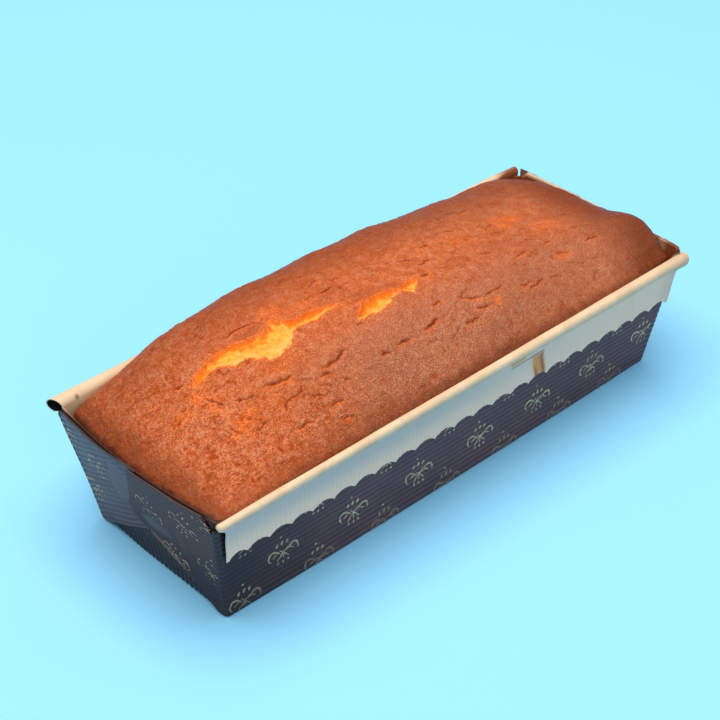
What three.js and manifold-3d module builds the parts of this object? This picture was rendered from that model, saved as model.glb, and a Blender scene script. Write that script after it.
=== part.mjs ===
// Yogurt sponge loaf cake in its corrugated paper loaf case.
// Millimetres, +Z up, X along the loaf, origin at the middle of the case's base.
// The near end of the loaf is at -X and its front long side at -Y.

import * as THREE from 'three';
import { mergeVertices } from 'three/addons/utils/BufferGeometryUtils.js';
import Module from 'manifold-3d';

// Case
const BASE_LENGTH = 200;
const BASE_WIDTH = 67;
const END_WALL_TOP = 46.6;
const SIDE_WALL_TOP = 44.8;
const END_LEAN = 0.165;
const SIDE_LEAN = 0.155;
const PAPER = 1.1;
const CORNER_RADIUS = 2;
const BASE_ROUND = 0.6;
const END_BOW = 3.4;

// Paper triangle left bare between the two tabs of each end wall
const WINDOW_HEIGHT = 18.5;
const WINDOW_WIDTH = 62;

// Notch between each rim and the end wall beside it
const NOTCH_WIDTH = 3.6;
const NOTCH_DEPTH = 5;
const NOTCH_FROM_CORNER = 1.2;

// Rims rolled outwards along the two long sides, with a scalloped flap hanging below each
const RIM_LENGTH = 215;
const RIM_TOP = 47.4;
const RIM_PAPER = 0.9;
const RIM_SEAT = 1.0;
const FRONT_RIM_NEAR_RADIUS = 1.5;
const FRONT_RIM_FAR_RADIUS = 2.65;
const BACK_RIM_RADIUS = 2.3;
const BACK_RIM_NEAR_FLARE = 0.5;
const BACK_RIM_FLARE_REACH = 15;
const ROLL_END_DEGREES = -70;
const ROLL_THROAT_OUTSIDE = 1.8;
const ROLL_THROAT_INSIDE = 1.2;
const RIM_ROOT = 2;
const FLAP_GAP = 0.45;
const FLAP_EDGE = 27;
const SCALLOP_COUNT = 23;
const SCALLOP_PITCH = 8.95;
const SCALLOP_RISE = 2.2;

// Cake
const CLEARANCE = 0.3;
const CRUST_EDGE = 44.8;
const NEAR_EDGE_DIP = { depth: 2.2, from: -70, to: -104 };
const CREST_RISE = 23.4;
const CREST_X = -30;
const CREST_Y = 6;
const NEAR_SLOPE_REACH = 80;
const FAR_SLOPE_REACH = 170;
const FAR_RISE = 7;
const BACK_SHOULDER_POWER = 3.3;
const FRONT_SLOPE_NEAR = { x: -70, power: 1.9 };
const FRONT_SLOPE_FAR = { x: 40, power: 3.4 };
const END_SHOULDER_REACH = 13;
const END_SHOULDER_POWER = 2.6;
const HUMP = { x: 101, y: -25, rise: 6.6, reachX: 19, reachY: 10 };
const CRUST_WAVE = 0.35;
const CRUST_WAVE_LENGTHS = { along: 30, across: 23, slant: [70, 37] };
const RELIEF_FADE = 3;
const CRUST_CORNER_CUT = 1.5;
const CRUST_CORNER_POWER = 14;
const CRUST_COLUMNS = 84;
const CRUST_ROWS = 36;
const EDGE_CROWDING = 0.55;

// Torn splits in the crust: a run of points in plan, the half width at each, and the depth.
// A split is full depth within the inner share of its half width and gone at the outer share.
const SPLIT_INNER = 0.4;
const SPLIT_OUTER = 1.2;
const SPLITS = [
  {
    depth: 1.3,
    points: [[-80, 2], [-70, 5], [-58, 1], [-48, -1], [-36, -1.5], [-22, -3.5]],
    widths: [0.5, 2.8, 4.8, 4.8, 2.4, 0.4],
  },
  {
    depth: 1.0,
    points: [[-24, -9.5], [-14, -10], [-4, -9], [5, -8.5]],
    widths: [0.6, 2.7, 2.4, 0.5],
  },
];

const wasm = await Module();
wasm.setup();

const lerp = THREE.MathUtils.lerp;
const smooth = (value, low, high) => THREE.MathUtils.smoothstep(value, low, high);

// Outer face of the case at height z
const halfLength = (z) => BASE_LENGTH / 2 + END_LEAN * z;
const halfWidth = (z) => BASE_WIDTH / 2 + SIDE_LEAN * z;
const endBow = (z) => (END_BOW * z) / END_WALL_TOP;

// Closed body from rings of equal point count, with both end rings capped
function loft(rings, toPlane) {
  const count = rings[0].length;
  const positions = rings.flat().flatMap((p) => [p.x, p.y, p.z]);
  const index = [];
  for (let ring = 0; ring + 1 < rings.length; ring++) {
    for (let i = 0; i < count; i++) {
      const a = ring * count + i;
      const b = ring * count + ((i + 1) % count);
      index.push(a, b, b + count, a, b + count, a + count);
    }
  }
  const lastStart = (rings.length - 1) * count;
  for (const [a, b, c] of THREE.ShapeUtils.triangulateShape(rings[0].map(toPlane), [])) {
    index.push(a, c, b);
  }
  for (const [a, b, c] of THREE.ShapeUtils.triangulateShape(rings.at(-1).map(toPlane), [])) {
    index.push(lastStart + a, lastStart + b, lastStart + c);
  }
  const geometry = new THREE.BufferGeometry();
  geometry.setAttribute('position', new THREE.Float32BufferAttribute(positions, 3));
  geometry.setIndex(index);
  return geometry;
}

function toSolid(source) {
  const bare = source.clone();
  bare.deleteAttribute('normal');
  bare.deleteAttribute('uv');
  const merged = mergeVertices(bare, 1e-4);
  return new wasm.Manifold(new wasm.Mesh({
    numProp: 3,
    vertProperties: new Float32Array(merged.attributes.position.array),
    triVerts: new Uint32Array(merged.index.array),
  }));
}

function toGeometry(solid) {
  const mesh = solid.getMesh();
  const geometry = new THREE.BufferGeometry();
  geometry.setAttribute('position', new THREE.BufferAttribute(mesh.vertProperties, 3));
  geometry.setIndex(new THREE.BufferAttribute(mesh.triVerts, 1));
  geometry.computeVertexNormals();
  return geometry;
}

// Plan of the case at height z: a rounded rectangle whose short sides bow outwards
function caseRing(z, endInset, sideInset, radius) {
  const cornerSteps = 4;
  const endSteps = 10;
  const lengthHalf = halfLength(z) - endInset;
  const widthHalf = halfWidth(z) - sideInset;
  const bow = (y) => endBow(z) * (1 - (y / widthHalf) ** 2);
  const quarter = [];
  for (let i = 1; i < endSteps / 2; i++) {
    const y = ((widthHalf - radius) * 2 * i) / endSteps;
    quarter.push([lengthHalf, y]);
  }
  for (let i = 0; i <= cornerSteps; i++) {
    const angle = (Math.PI / 2) * (i / cornerSteps);
    quarter.push([
      lengthHalf - radius + radius * Math.cos(angle),
      widthHalf - radius + radius * Math.sin(angle),
    ]);
  }
  const mirrored = [...quarter].reverse();
  const outline = [
    [lengthHalf, 0],
    ...quarter,
    ...mirrored.map(([x, y]) => [-x, y]),
    [-lengthHalf, 0],
    ...quarter.map(([x, y]) => [-x, -y]),
    ...mirrored.map(([x, y]) => [x, -y]),
  ];
  return outline.map(([x, y]) => new THREE.Vector3(x + Math.sign(x) * bow(y), y, z));
}

const planOf = (p) => new THREE.Vector2(p.x, p.y);

function trayBody(endInset, sideInset, floor, top) {
  const wallSteps = 5;
  const radius = Math.max(CORNER_RADIUS - sideInset, 1);
  const rings = [caseRing(floor, endInset + BASE_ROUND, sideInset + BASE_ROUND, radius)];
  for (let i = 0; i <= wallSteps; i++) {
    rings.push(caseRing(lerp(floor + BASE_ROUND, top, i / wallSteps), endInset, sideInset, radius));
  }
  return toSolid(loft(rings, planOf));
}

// Flat outline in the plane of an end wall, run through along X
function alongX(outline, fromX, toX) {
  const shape = new THREE.Shape(outline.map(([y, z]) => new THREE.Vector2(y, z)));
  const geometry = new THREE.ExtrudeGeometry(shape, { depth: toX - fromX, bevelEnabled: false });
  const turn = new THREE.Matrix4().makeBasis(
    new THREE.Vector3(0, 1, 0),
    new THREE.Vector3(0, 0, 1),
    new THREE.Vector3(1, 0, 0),
  );
  return toSolid(geometry.applyMatrix4(turn).translate(fromX, 0, 0));
}

// Outer radius of a rolled rim at x, on the front (-1) or back (+1) long side
function rimRadius(side, x) {
  if (side < 0) {
    const along = smooth(x, -RIM_LENGTH / 2, RIM_LENGTH / 2);
    return lerp(FRONT_RIM_NEAR_RADIUS, FRONT_RIM_FAR_RADIUS, along);
  }
  const fromNearEnd = x + RIM_LENGTH / 2;
  return BACK_RIM_RADIUS + BACK_RIM_NEAR_FLARE * Math.exp(-fromNearEnd / BACK_RIM_FLARE_REACH);
}

// Section of rim and flap at x: out of the wall, over the roll and down the outside.
// The first number is the distance out of the wall's outer face, the second the height.
function rimSection(side, x) {
  const radius = rimRadius(side, x);
  const centre = [radius - RIM_SEAT, RIM_TOP - radius];
  const rollSteps = 14;
  const flapOut = FLAP_GAP + RIM_PAPER;
  const onRoll = (r, degrees) => {
    const angle = THREE.MathUtils.degToRad(degrees);
    return [centre[0] + r * Math.cos(angle), centre[1] + r * Math.sin(angle)];
  };
  const path = (r, flapAt, throat) => {
    const points = [[centre[0] - r, SIDE_WALL_TOP - RIM_ROOT]];
    for (let i = 0; i <= rollSteps; i++) {
      points.push(onRoll(r, lerp(180, ROLL_END_DEGREES, i / rollSteps)));
    }
    points.push([flapAt, centre[1] - radius - throat], [flapAt, FLAP_EDGE]);
    return points;
  };
  const outside = path(radius, flapOut, ROLL_THROAT_OUTSIDE);
  const inside = path(radius - RIM_PAPER, FLAP_GAP, ROLL_THROAT_INSIDE);
  const taper = (z) => halfLength(z) / halfLength(RIM_TOP);
  return [...outside, ...inside.reverse()].map(([out, z]) => (
    new THREE.Vector3(x * taper(z), side * (halfWidth(z) + out), z)
  ));
}

// Cutter under the scalloped lower edge of a flap
function scallopComb(side) {
  const arcSteps = 6;
  const half = SCALLOP_PITCH / 2;
  const radius = (half ** 2 + SCALLOP_RISE ** 2) / (2 * SCALLOP_RISE);
  const margin = RIM_LENGTH;
  const shape = new THREE.Shape();
  shape.moveTo(-margin, -margin);
  shape.lineTo(margin, -margin);
  shape.lineTo(margin, FLAP_EDGE);
  for (let i = SCALLOP_COUNT - 1; i >= 0; i--) {
    const middle = (i - (SCALLOP_COUNT - 1) / 2) * SCALLOP_PITCH;
    for (let step = 0; step <= arcSteps; step++) {
      const across = half * (1 - (2 * step) / arcSteps);
      const rise = Math.sqrt(radius ** 2 - across ** 2) - radius + SCALLOP_RISE;
      shape.lineTo(middle + across, FLAP_EDGE + rise);
    }
  }
  shape.lineTo(-margin, FLAP_EDGE);
  shape.closePath();
  const depth = BASE_WIDTH;
  const geometry = new THREE.ExtrudeGeometry(shape, { depth, bevelEnabled: false });
  geometry.rotateX(Math.PI / 2);
  return toSolid(geometry.translate(0, side * BASE_WIDTH * 0.75 + depth / 2, 0));
}

function rolledRim(side) {
  const stations = 12;
  const sections = [];
  for (let i = 0; i <= stations; i++) {
    const x = lerp(-RIM_LENGTH / 2, RIM_LENGTH / 2, i / stations);
    sections.push(rimSection(side, x));
  }
  if (side > 0) {
    sections.forEach((section) => section.reverse());
  }
  const flat = (p) => new THREE.Vector2(p.y, p.z);
  return toSolid(loft(sections, flat)).subtract(scallopComb(side));
}

// Space above the long walls, between the end walls, that the rims close
function sideRelief(side) {
  const inner = side * (halfWidth(SIDE_WALL_TOP) - 2 * PAPER);
  const outer = side * halfWidth(2 * END_WALL_TOP);
  const reach = halfLength(SIDE_WALL_TOP) - 2 * PAPER;
  const section = [
    [inner, SIDE_WALL_TOP],
    [outer, SIDE_WALL_TOP],
    [outer, 2 * END_WALL_TOP],
    [inner, 2 * END_WALL_TOP],
  ];
  return alongX(section, -reach, reach);
}

function cornerNotch(side, fromX, toX) {
  const middle = side * (halfWidth(END_WALL_TOP) - PAPER - NOTCH_FROM_CORNER);
  const section = [
    [middle, END_WALL_TOP - NOTCH_DEPTH],
    [middle + NOTCH_WIDTH / 2, END_WALL_TOP + PAPER],
    [middle - NOTCH_WIDTH / 2, END_WALL_TOP + PAPER],
  ];
  return alongX(section, fromX, toX);
}

function paperCase() {
  const outer = trayBody(0, 0, 0, END_WALL_TOP);
  const endPanels = trayBody(PAPER, -PAPER, -PAPER, END_WALL_TOP + PAPER);
  const inside = trayBody(2 * PAPER, PAPER, PAPER, END_WALL_TOP + PAPER);
  const farX = halfLength(END_WALL_TOP) + 2 * END_BOW;
  const triangle = [[-WINDOW_WIDTH / 2, 0], [WINDOW_WIDTH / 2, 0], [0, WINDOW_HEIGHT]];
  const windows = alongX(triangle, -farX, farX).subtract(endPanels);
  let body = outer.subtract(windows).subtract(inside);
  for (const side of [-1, 1]) {
    body = body.subtract(sideRelief(side));
    body = body.subtract(cornerNotch(side, -farX, -farX / 2));
    body = body.subtract(cornerNotch(side, farX / 2, farX));
    body = body.add(rolledRim(side));
  }
  return toGeometry(body);
}

// Height of the cake where it meets the case, lower towards the near end
function crustEdge(x) {
  return CRUST_EDGE - NEAR_EDGE_DIP.depth * smooth(-x, -NEAR_EDGE_DIP.from, -NEAR_EDGE_DIP.to);
}

// Rise of the cake's middle line above its edge
function crestRise(x) {
  if (x < CREST_X) {
    return CREST_RISE * (1 - ((CREST_X - x) / NEAR_SLOPE_REACH) ** 2);
  }
  const along = Math.min((x - CREST_X) / FAR_SLOPE_REACH, 1);
  return lerp(FAR_RISE, CREST_RISE, 0.5 + 0.5 * Math.cos(Math.PI * along));
}

// Share of the rise across the loaf: an even slope in front, a full shoulder at the back
function crossShare(x, y, limit) {
  if (y > CREST_Y) {
    const out = Math.min((y - CREST_Y) / (limit - CREST_Y), 1);
    return (1 - out ** BACK_SHOULDER_POWER) ** (1 / BACK_SHOULDER_POWER);
  }
  const out = Math.min((CREST_Y - y) / (limit + CREST_Y), 1);
  const along = smooth(x, FRONT_SLOPE_NEAR.x, FRONT_SLOPE_FAR.x);
  const power = lerp(FRONT_SLOPE_NEAR.power, FRONT_SLOPE_FAR.power, along);
  return 1 - out ** power;
}

// Share of the rise left towards either end wall
function endShare(x, limit) {
  const out = THREE.MathUtils.clamp((Math.abs(x) - limit) / END_SHOULDER_REACH + 1, 0, 1);
  return (1 - out ** END_SHOULDER_POWER) ** (1 / END_SHOULDER_POWER);
}

// Depth of the torn splits at a point of the crust
function splitDepth(x, y) {
  let deepest = 0;
  for (const { depth, points, widths } of SPLITS) {
    for (let i = 0; i + 1 < points.length; i++) {
      const [ax, ay] = points[i];
      const [bx, by] = points[i + 1];
      const run = [bx - ax, by - ay];
      const share = ((x - ax) * run[0] + (y - ay) * run[1]) / (run[0] ** 2 + run[1] ** 2);
      const along = THREE.MathUtils.clamp(share, 0, 1);
      const away = Math.hypot(x - ax - along * run[0], y - ay - along * run[1]);
      const width = lerp(widths[i], widths[i + 1], along);
      deepest = Math.max(deepest, depth * (1 - smooth(away, width * SPLIT_INNER, width * SPLIT_OUTER)));
    }
  }
  return deepest;
}

// Gentle unevenness of the crust
function crustWave(x, y) {
  const turn = 2 * Math.PI;
  const { along, across, slant } = CRUST_WAVE_LENGTHS;
  const cells = Math.sin((turn * x) / along) * Math.cos((turn * y) / across);
  return CRUST_WAVE * (cells + Math.sin(turn * (x / slant[0] - y / slant[1])));
}

function crustHeight(x, y, endLimit, sideLimit) {
  const share = crossShare(x, y, sideLimit) * endShare(x, endLimit);
  const offX = (x - HUMP.x) / HUMP.reachX;
  const offY = (y - HUMP.y) / HUMP.reachY;
  const hump = HUMP.rise * Math.exp(-(offX ** 2) - offY ** 2);
  const relief = hump + crustWave(x, y) - splitDepth(x, y);
  return crustEdge(x) + crestRise(x) * share + relief * Math.min(share * RELIEF_FADE, 1);
}

// Side of the cake at height z, just inside the case; a and b run from -1 to 1 over the plan
function cakePoint(a, b, z) {
  const sideLimit = halfWidth(z) - PAPER - CLEARANCE;
  const y = b * sideLimit;
  const endLimit = halfLength(z) - 2 * PAPER - CLEARANCE + endBow(z) * (1 - b * b);
  const cut = CRUST_CORNER_CUT * Math.abs(a * b) ** CRUST_CORNER_POWER;
  return {
    x: a * endLimit - Math.sign(a) * cut,
    y: y - Math.sign(b) * cut,
    endLimit,
    sideLimit,
  };
}

function cake() {
  const crowd = (t) => lerp(t, Math.sin((t * Math.PI) / 2), EDGE_CROWDING);
  const positions = [];
  const index = [];
  const top = [];
  for (let row = 0; row <= CRUST_ROWS; row++) {
    top.push([]);
    for (let column = 0; column <= CRUST_COLUMNS; column++) {
      const a = crowd((2 * column) / CRUST_COLUMNS - 1);
      const b = crowd((2 * row) / CRUST_ROWS - 1);
      const rough = cakePoint(a, b, CRUST_EDGE);
      const point = cakePoint(a, b, crustEdge(rough.x));
      const onEdge = Math.max(Math.abs(a), Math.abs(b)) === 1;
      const z = onEdge
        ? crustEdge(rough.x)
        : crustHeight(point.x, point.y, point.endLimit, point.sideLimit);
      top[row].push({ a, b, z, vertex: positions.length / 3 });
      positions.push(point.x, point.y, z);
    }
  }
  for (let row = 0; row < CRUST_ROWS; row++) {
    for (let column = 0; column < CRUST_COLUMNS; column++) {
      const [p, q] = [top[row][column].vertex, top[row][column + 1].vertex];
      const [s, r] = [top[row + 1][column].vertex, top[row + 1][column + 1].vertex];
      index.push(p, q, r, p, r, s);
    }
  }
  const rim = [
    ...top[0].slice(0, -1),
    ...top.slice(0, -1).map((row) => row.at(-1)),
    ...top.at(-1).slice(1).reverse(),
    ...top.slice(1).map((row) => row[0]).reverse(),
  ];
  const bottom = PAPER + CLEARANCE;
  const foot = bottom + BASE_ROUND;
  const rings = [rim.map((p) => p.vertex)];
  for (const [z, inset] of [[foot, 0], [bottom, BASE_ROUND]]) {
    rings.push(rim.map(({ a, b }) => {
      const point = cakePoint(a, b, z);
      const shrinkX = 1 - inset / point.endLimit;
      const shrinkY = 1 - inset / point.sideLimit;
      positions.push(point.x * shrinkX, point.y * shrinkY, z);
      return positions.length / 3 - 1;
    }));
  }
  for (let ring = 0; ring + 1 < rings.length; ring++) {
    for (let i = 0; i < rim.length; i++) {
      const next = (i + 1) % rim.length;
      const [p, q] = [rings[ring][i], rings[ring][next]];
      const [s, r] = [rings[ring + 1][i], rings[ring + 1][next]];
      index.push(p, s, r, p, r, q);
    }
  }
  positions.push(0, 0, bottom);
  const centre = positions.length / 3 - 1;
  const lowest = rings.at(-1);
  for (let i = 0; i < lowest.length; i++) {
    index.push(centre, lowest[(i + 1) % lowest.length], lowest[i]);
  }
  const geometry = new THREE.BufferGeometry();
  geometry.setAttribute('position', new THREE.Float32BufferAttribute(positions, 3));
  geometry.setIndex(index);
  geometry.computeVertexNormals();
  return geometry;
}

function part(name, geometry, color, roughness) {
  const material = new THREE.MeshStandardMaterial({ color, roughness, metalness: 0 });
  const mesh = new THREE.Mesh(geometry, material);
  mesh.name = name;
  return mesh;
}

const loaf = new THREE.Group();
loaf.add(part('cake', cake(), 0xb86428, 0.7));
loaf.add(part('paper_case', paperCase(), 0x4a2a20, 0.55));

export default loaf;
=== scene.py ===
import math
from functools import reduce

import bmesh
import bpy
import numpy as np
from mathutils import Matrix


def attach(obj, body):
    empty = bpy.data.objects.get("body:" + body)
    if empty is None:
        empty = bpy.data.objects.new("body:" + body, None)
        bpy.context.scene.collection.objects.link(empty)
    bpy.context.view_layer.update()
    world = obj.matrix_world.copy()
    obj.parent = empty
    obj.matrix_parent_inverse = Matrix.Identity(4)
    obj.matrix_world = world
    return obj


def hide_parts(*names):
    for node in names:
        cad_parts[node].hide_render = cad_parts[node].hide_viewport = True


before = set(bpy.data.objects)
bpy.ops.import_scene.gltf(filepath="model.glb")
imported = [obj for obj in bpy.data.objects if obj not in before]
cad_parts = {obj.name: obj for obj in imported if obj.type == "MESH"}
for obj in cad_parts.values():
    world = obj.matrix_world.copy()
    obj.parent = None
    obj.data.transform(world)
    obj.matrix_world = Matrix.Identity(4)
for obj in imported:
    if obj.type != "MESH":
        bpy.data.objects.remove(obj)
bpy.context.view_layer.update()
scene = bpy.context.scene

MM = 0.001
SHARP_DEGREES = 60
NOISE_CELLS = 256
SPACING_STEPS = 4001

# Case, as in the solids
BASE_LENGTH = 200
BASE_WIDTH = 67
END_WALL_TOP = 46.6
SIDE_WALL_TOP = 44.8
END_LEAN = 0.165
SIDE_LEAN = 0.155
PAPER = 1.1
CORNER_RADIUS = 2
BASE_ROUND = 0.6
END_BOW = 3.4
WINDOW_HEIGHT = 18.5
WINDOW_WIDTH = 62
NOTCH_WIDTH = 3.6
NOTCH_DEPTH = 5
NOTCH_FROM_CORNER = 1.2
RIM_LENGTH = 215
RIM_TOP = 47.4
RIM_PAPER = 0.9
RIM_SEAT = 1.0
BACK_RIM_RADIUS = 2.3
BACK_RIM_NEAR_FLARE = 0.5
BACK_RIM_FLARE_REACH = 15
ROLL_END_DEGREES = -70
ROLL_THROAT = 1.8
FLAP_GAP = 0.45
FLAP_EDGE = 27
SCALLOP_COUNT = 23
SCALLOP_PITCH = 8.95
SCALLOP_RISE = 2.2

# Cake, as in the solids
CLEARANCE = 0.3
CRUST_EDGE = 44.8
NEAR_EDGE_DIP = (2.2, -70, -104)
CREST_RISE = 23.4
CREST_X = -30
CREST_Y = 6
NEAR_SLOPE_REACH = 80
FAR_SLOPE_REACH = 170
FAR_RISE = 7
BACK_SHOULDER_POWER = 3.3
FRONT_SLOPE_POWER = (1.9, 3.4, -70, 40)
END_SHOULDER_REACH = 13
END_SHOULDER_POWER = 2.6
CRUST_WAVE = {"rise": 0.35, "along": 30, "across": 23, "slant": (70, 37)}
RELIEF_FADE = 3
CRUST_CORNER_CUT = 1.5
CRUST_CORNER_POWER = 14

# Crust mesh: faces along and across, with stops of place and spacing
CAKE_COLUMNS = 546
CAKE_ROWS = 170
COLUMN_SPACING = [(-1, 0.2), (-0.95, 0.32), (-0.42, 0.34), (0.42, 0.38), (0.92, 0.56), (1, 0.25)]
ROW_SPACING = [(-1, 0.2), (-0.93, 0.4), (0.3, 0.4), (0.92, 0.62), (1, 0.25)]

# Forms of the crust that are fitted to the photo: the hump is softer than in the solids
HUMP = (101, -23, 24, 13, 5.6)
FAR_CORNER_DIP = (106, 38, 15, 15, 2.2)
FAR_EDGE_DIP = (0.4, 86, 104, -22, 2)
FAR_BACK_LIFT = (1.1, -15, 35, 0, 25)

# Relief of the crust
PORE_DEPTH = 0.3
MOTTLE_DEPTH = (0.13, 0.22, -2, 12)
LUMP_LEVEL = 1.6
WRINKLE_DEPTH = 0.16
WRINKLE_POWER = 4
CRACK_DEPTH = 0.36
SPLIT_DEPTH = 1.5
SPLIT_FAR_SLOPE = 0.9
SPLIT_NEAR_SLOPE = 2.6
SPLIT_FLOOR = (0.1, 0.8)
CRUMB_DEPTH = 0.15

# Layers of noise on the crust: height, size and seed of each
WARP_X = [(0.35, 1.7, 11), (0.2, 0.8, 12)]
WARP_Y = [(0.35, 1.7, 13), (0.2, 0.8, 14)]
BLUSH_NOISE = [(0.9, 2.2, 15)]
DUSK_NOISE = [(0.7, 3, 16)]
BAND_NOISE = [(0.3, 1.9, 17), (0.25, 0.9, 18)]
TEAR_NOISE = [(0.45, 1.3, 19), (0.3, 0.7, 24)]
BROWN_NOISE = [(1.2, 3.5, 20), (1, 1.6, 23)]
PORE_NOISE = [(0.45, 2.2, 21), (0.7, 1.05, 22)]
WRINKLE_NOISE = [(1, 1.5, 25)]
CHAR_NOISE = [(0.5, 2.4, 26), (0.4, 1.1, 27)]
LUMP_NOISE = [(0.9, 6.5, 31), (0.8, 3.1, 32), (0.7, 1.5, 33)]
CRUMB_NOISE = [(1, 1.3, 41), (0.8, 2.7, 42)]

# Torn splits: far and near edge of each in plan, and along x the share of the width that is deep orange,
# painted as the shade on the split's far wall
SPLITS = [
    {
        "far": [
            (-78.5, 5), (-74.5, 7.8), (-69.6, 8.4), (-63, 8.4), (-60, 8), (-57.2, 6.3), (-54.7, 4.5),
            (-48.8, 3.3), (-47.3, 3.6), (-45.9, 6), (-44.2, 6.6), (-43.7, 4.4), (-40.4, 2.7), (-36.5, 0.8),
            (-34.7, 1.4), (-30, 0.9), (-23, -2.3),
        ],
        "near": [
            (-78.8, 3.6), (-75.2, 3.3), (-71.8, 4), (-69.3, 3.6), (-65.8, 1.2), (-65.4, -0.8), (-61.3, -0.9),
            (-58.2, -4.7), (-56.6, -5.3), (-55.8, -6.9), (-50.4, -7.4), (-46.1, -6.4), (-43.3, -4.2),
            (-40.4, -2.5), (-37.5, -2), (-34.1, -3.6), (-27, -2.6), (-23.5, -2.9),
        ],
        "band": [
            (-80, 0.8), (-70, 0.6), (-65, 0.3), (-61, 0.35), (-56, 0.55), (-51, 0.3), (-48, 0), (-45, 0.1),
            (-41, 0.5), (-23, 0.6),
        ],
    },
    {
        "far": [
            (-20, -9.2), (-15.7, -6.6), (-12.2, -6.6), (-5.2, -5.9), (-0.2, -8.3), (5.4, -6.8), (9.7, -6.7),
        ],
        "near": [
            (-21.8, -11.7), (-14.8, -12.7), (-11.4, -13), (-7.7, -11.9), (-4.1, -10.5), (-0.7, -9.8),
            (2.9, -11.8), (6.1, -10), (8.6, -7.8),
        ],
        "band": [(-22, 0.7), (-15, 0.5), (-3, 0.6), (2, 0.45), (10, 0.7)],
    },
]
TORN_EDGE = (-0.2, 1.2)
BAND_SOFTNESS = (0.25, -0.3)
PALE_SHARE = (0.55, 0.95)
LEAST_SPLIT = 0.01
FAR_FRINGE = (0.7, 0.7)
NEAR_FRINGE = (0.7, 0.35)

# Cracks in the crust as runs of points in plan, by half width
CRACKS = {
    0.36: [
        [(-58.9, 12), (-54.5, 12.7), (-52, 11.6), (-49.3, 10.1)],
        [(-43.8, -18.1), (-39.5, -18.6), (-37.2, -18.5), (-35, -17.5), (-33, -17.2)],
        [(-62.5, -22.6), (-61.5, -20.8), (-59.7, -20.2), (-54.7, -20.3), (-53.1, -19)],
        [(-24, -24.5), (-20, -25)],
        [(-63.9, -12.7), (-61.3, -13.1), (-55.9, -15), (-53.2, -14.3)],
        [(25, -23.5), (30, -23), (34, -23)],
        [(-4.1, -23.9), (0.7, -23.6), (3.2, -23)],
    ],
    0.3: [
        [(-82, 10), (-80, 8)], [(-46.5, -20.1), (-44.1, -20.4), (-41.5, -20.7)], [(-40, -24.5), (-38, -25)],
        [(-73.6, -10.5), (-70.3, -12.4), (-67.5, -13)], [(-23, 6), (-20.5, 6.4), (-16, 7.5)],
        [(-63, -28.5), (-58, -28.5)], [(-49, -32.5), (-45, -33)], [(11, 5.5), (16, 2.5)],
        [(-22, 19), (-19.5, 18)], [(-75, -22), (-70, -21)], [(-81, -16), (-79, -20)], [(-79, -2), (-77, -9)],
        [(-17, -24.5), (-10, -24)], [(-50, -28.5), (-43, -28.5)], [(-54, -23), (-49, -25)],
        [(23, 7), (28, 7)], [(54, 18.5), (58, 18.5)], [(15, -20), (20, -22), (25, -23.5)],
        [(40, -26), (46, -25.5)], [(49, -15), (55, -14)], [(4.7, -19), (8.5, -18.4)],
        [(11, -28), (17, -28.5)], [(19, -25.5), (24, -26.5)], [(78, -20), (84, -21)],
        [(65, -13), (68, -13.5)], [(64, -19.5), (69, -21.5)], [(15, -1.5), (21, 0)],
        [(43, -27.5), (51, -26)], [(11, -6.6), (14, -7)],
    ],
}
CRACK_SEED = 5
CRACK_STRENGTH = (0.75, 1)
CRACK_END = 0.3
LIP_X = 0.2
LIP_Y = 0.8
LIP_REACH = 0.6
LIP_STRENGTH = (0.15, 0.55)
CRACK_GAIN = 1.8
CRACK_START = 0.1
CRACK_FAR_LOSS = (0.1, -10, 45)

# Fine cracks: how many, and the bounds between which their places and forms are drawn
FINE_CRACKS = 190
FINE_CRACK_X = (-95, 98)
FINE_CRACK_Y = (-36, 32)
FINE_CRACK_REACH = (1.2, 3.2)
FINE_CRACK_LEAN = (-0.6, 0.45)
FINE_CRACK_STRENGTH = (0.15, 0.5)
FINE_CRACK_HALF = 0.3

# Paler orange and darker brown patches of the crust, the darker one at the far end being painted shade: place
# in plan, reach along and across, strength
BLUSH = [
    (-81, 0, 3, 3, 1), (-86, -1, 3.5, 3, 0.9), (-79, -5, 3.5, 6, 0.5), (-74, -18, 4, 3.5, 0.95),
    (-79, -20, 3.5, 3, 0.7), (-54, -9, 6, 3, 0.4), (-43, 9, 3, 3, 0.6), (-33, 5, 5, 2, 0.3),
    (65, 6, 6, 4, 0.6), (74, -4, 6, 4, 0.5), (27, -26.5, 2, 1.2, 0.8), (-22, -2.5, 3, 1.5, 0.5),
    (66, -22, 4, 2, 0.4), (40, 4, 14, 5, 0.3), (-68, -20, 8, 5, 0.3),
]
DUSK = [
    (-52, 8.5, 6, 3, 0.42), (-19, 5, 6, 2.5, 0.36), (-12, -2, 8, 2.5, 0.36), (-30, -8, 6, 2, 0.18),
    (-42, -20, 22, 10, 0.18), (56, -4, 9, 4, 0.3), (23, -32, 8, 2.5, 0.36), (48, -23, 10, 3, 0.3),
    (96, 0, 14, 30, 0.3), (-98, 10, 12, 25, 0.12),
]

# Browning towards each edge of the crust, partly painted shade along the front rim and at the far end, and
# its charred edges with painted shade in the gap at the paper, as strength and reach
FRONT_BROWN = 0.5
FRONT_BROWN_REACH = (10, 5, -60, 0)
BACK_BROWN = (0.5, 0.74, -85, -30)
BACK_BROWN_REACH = 38
NEAR_BROWN = (0.9, 15)
FAR_BROWN = (0.95, 38)
FULLY_BROWN = 0.2
FAR_TAN = (0.2, -5, 45)
NEAR_CHAR = (0.9, 3.2)
FRONT_CHAR = (0.4, 2.8)
FAR_CHAR = (0.3, 3)
FULLY_CHARRED = 0.4
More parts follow.
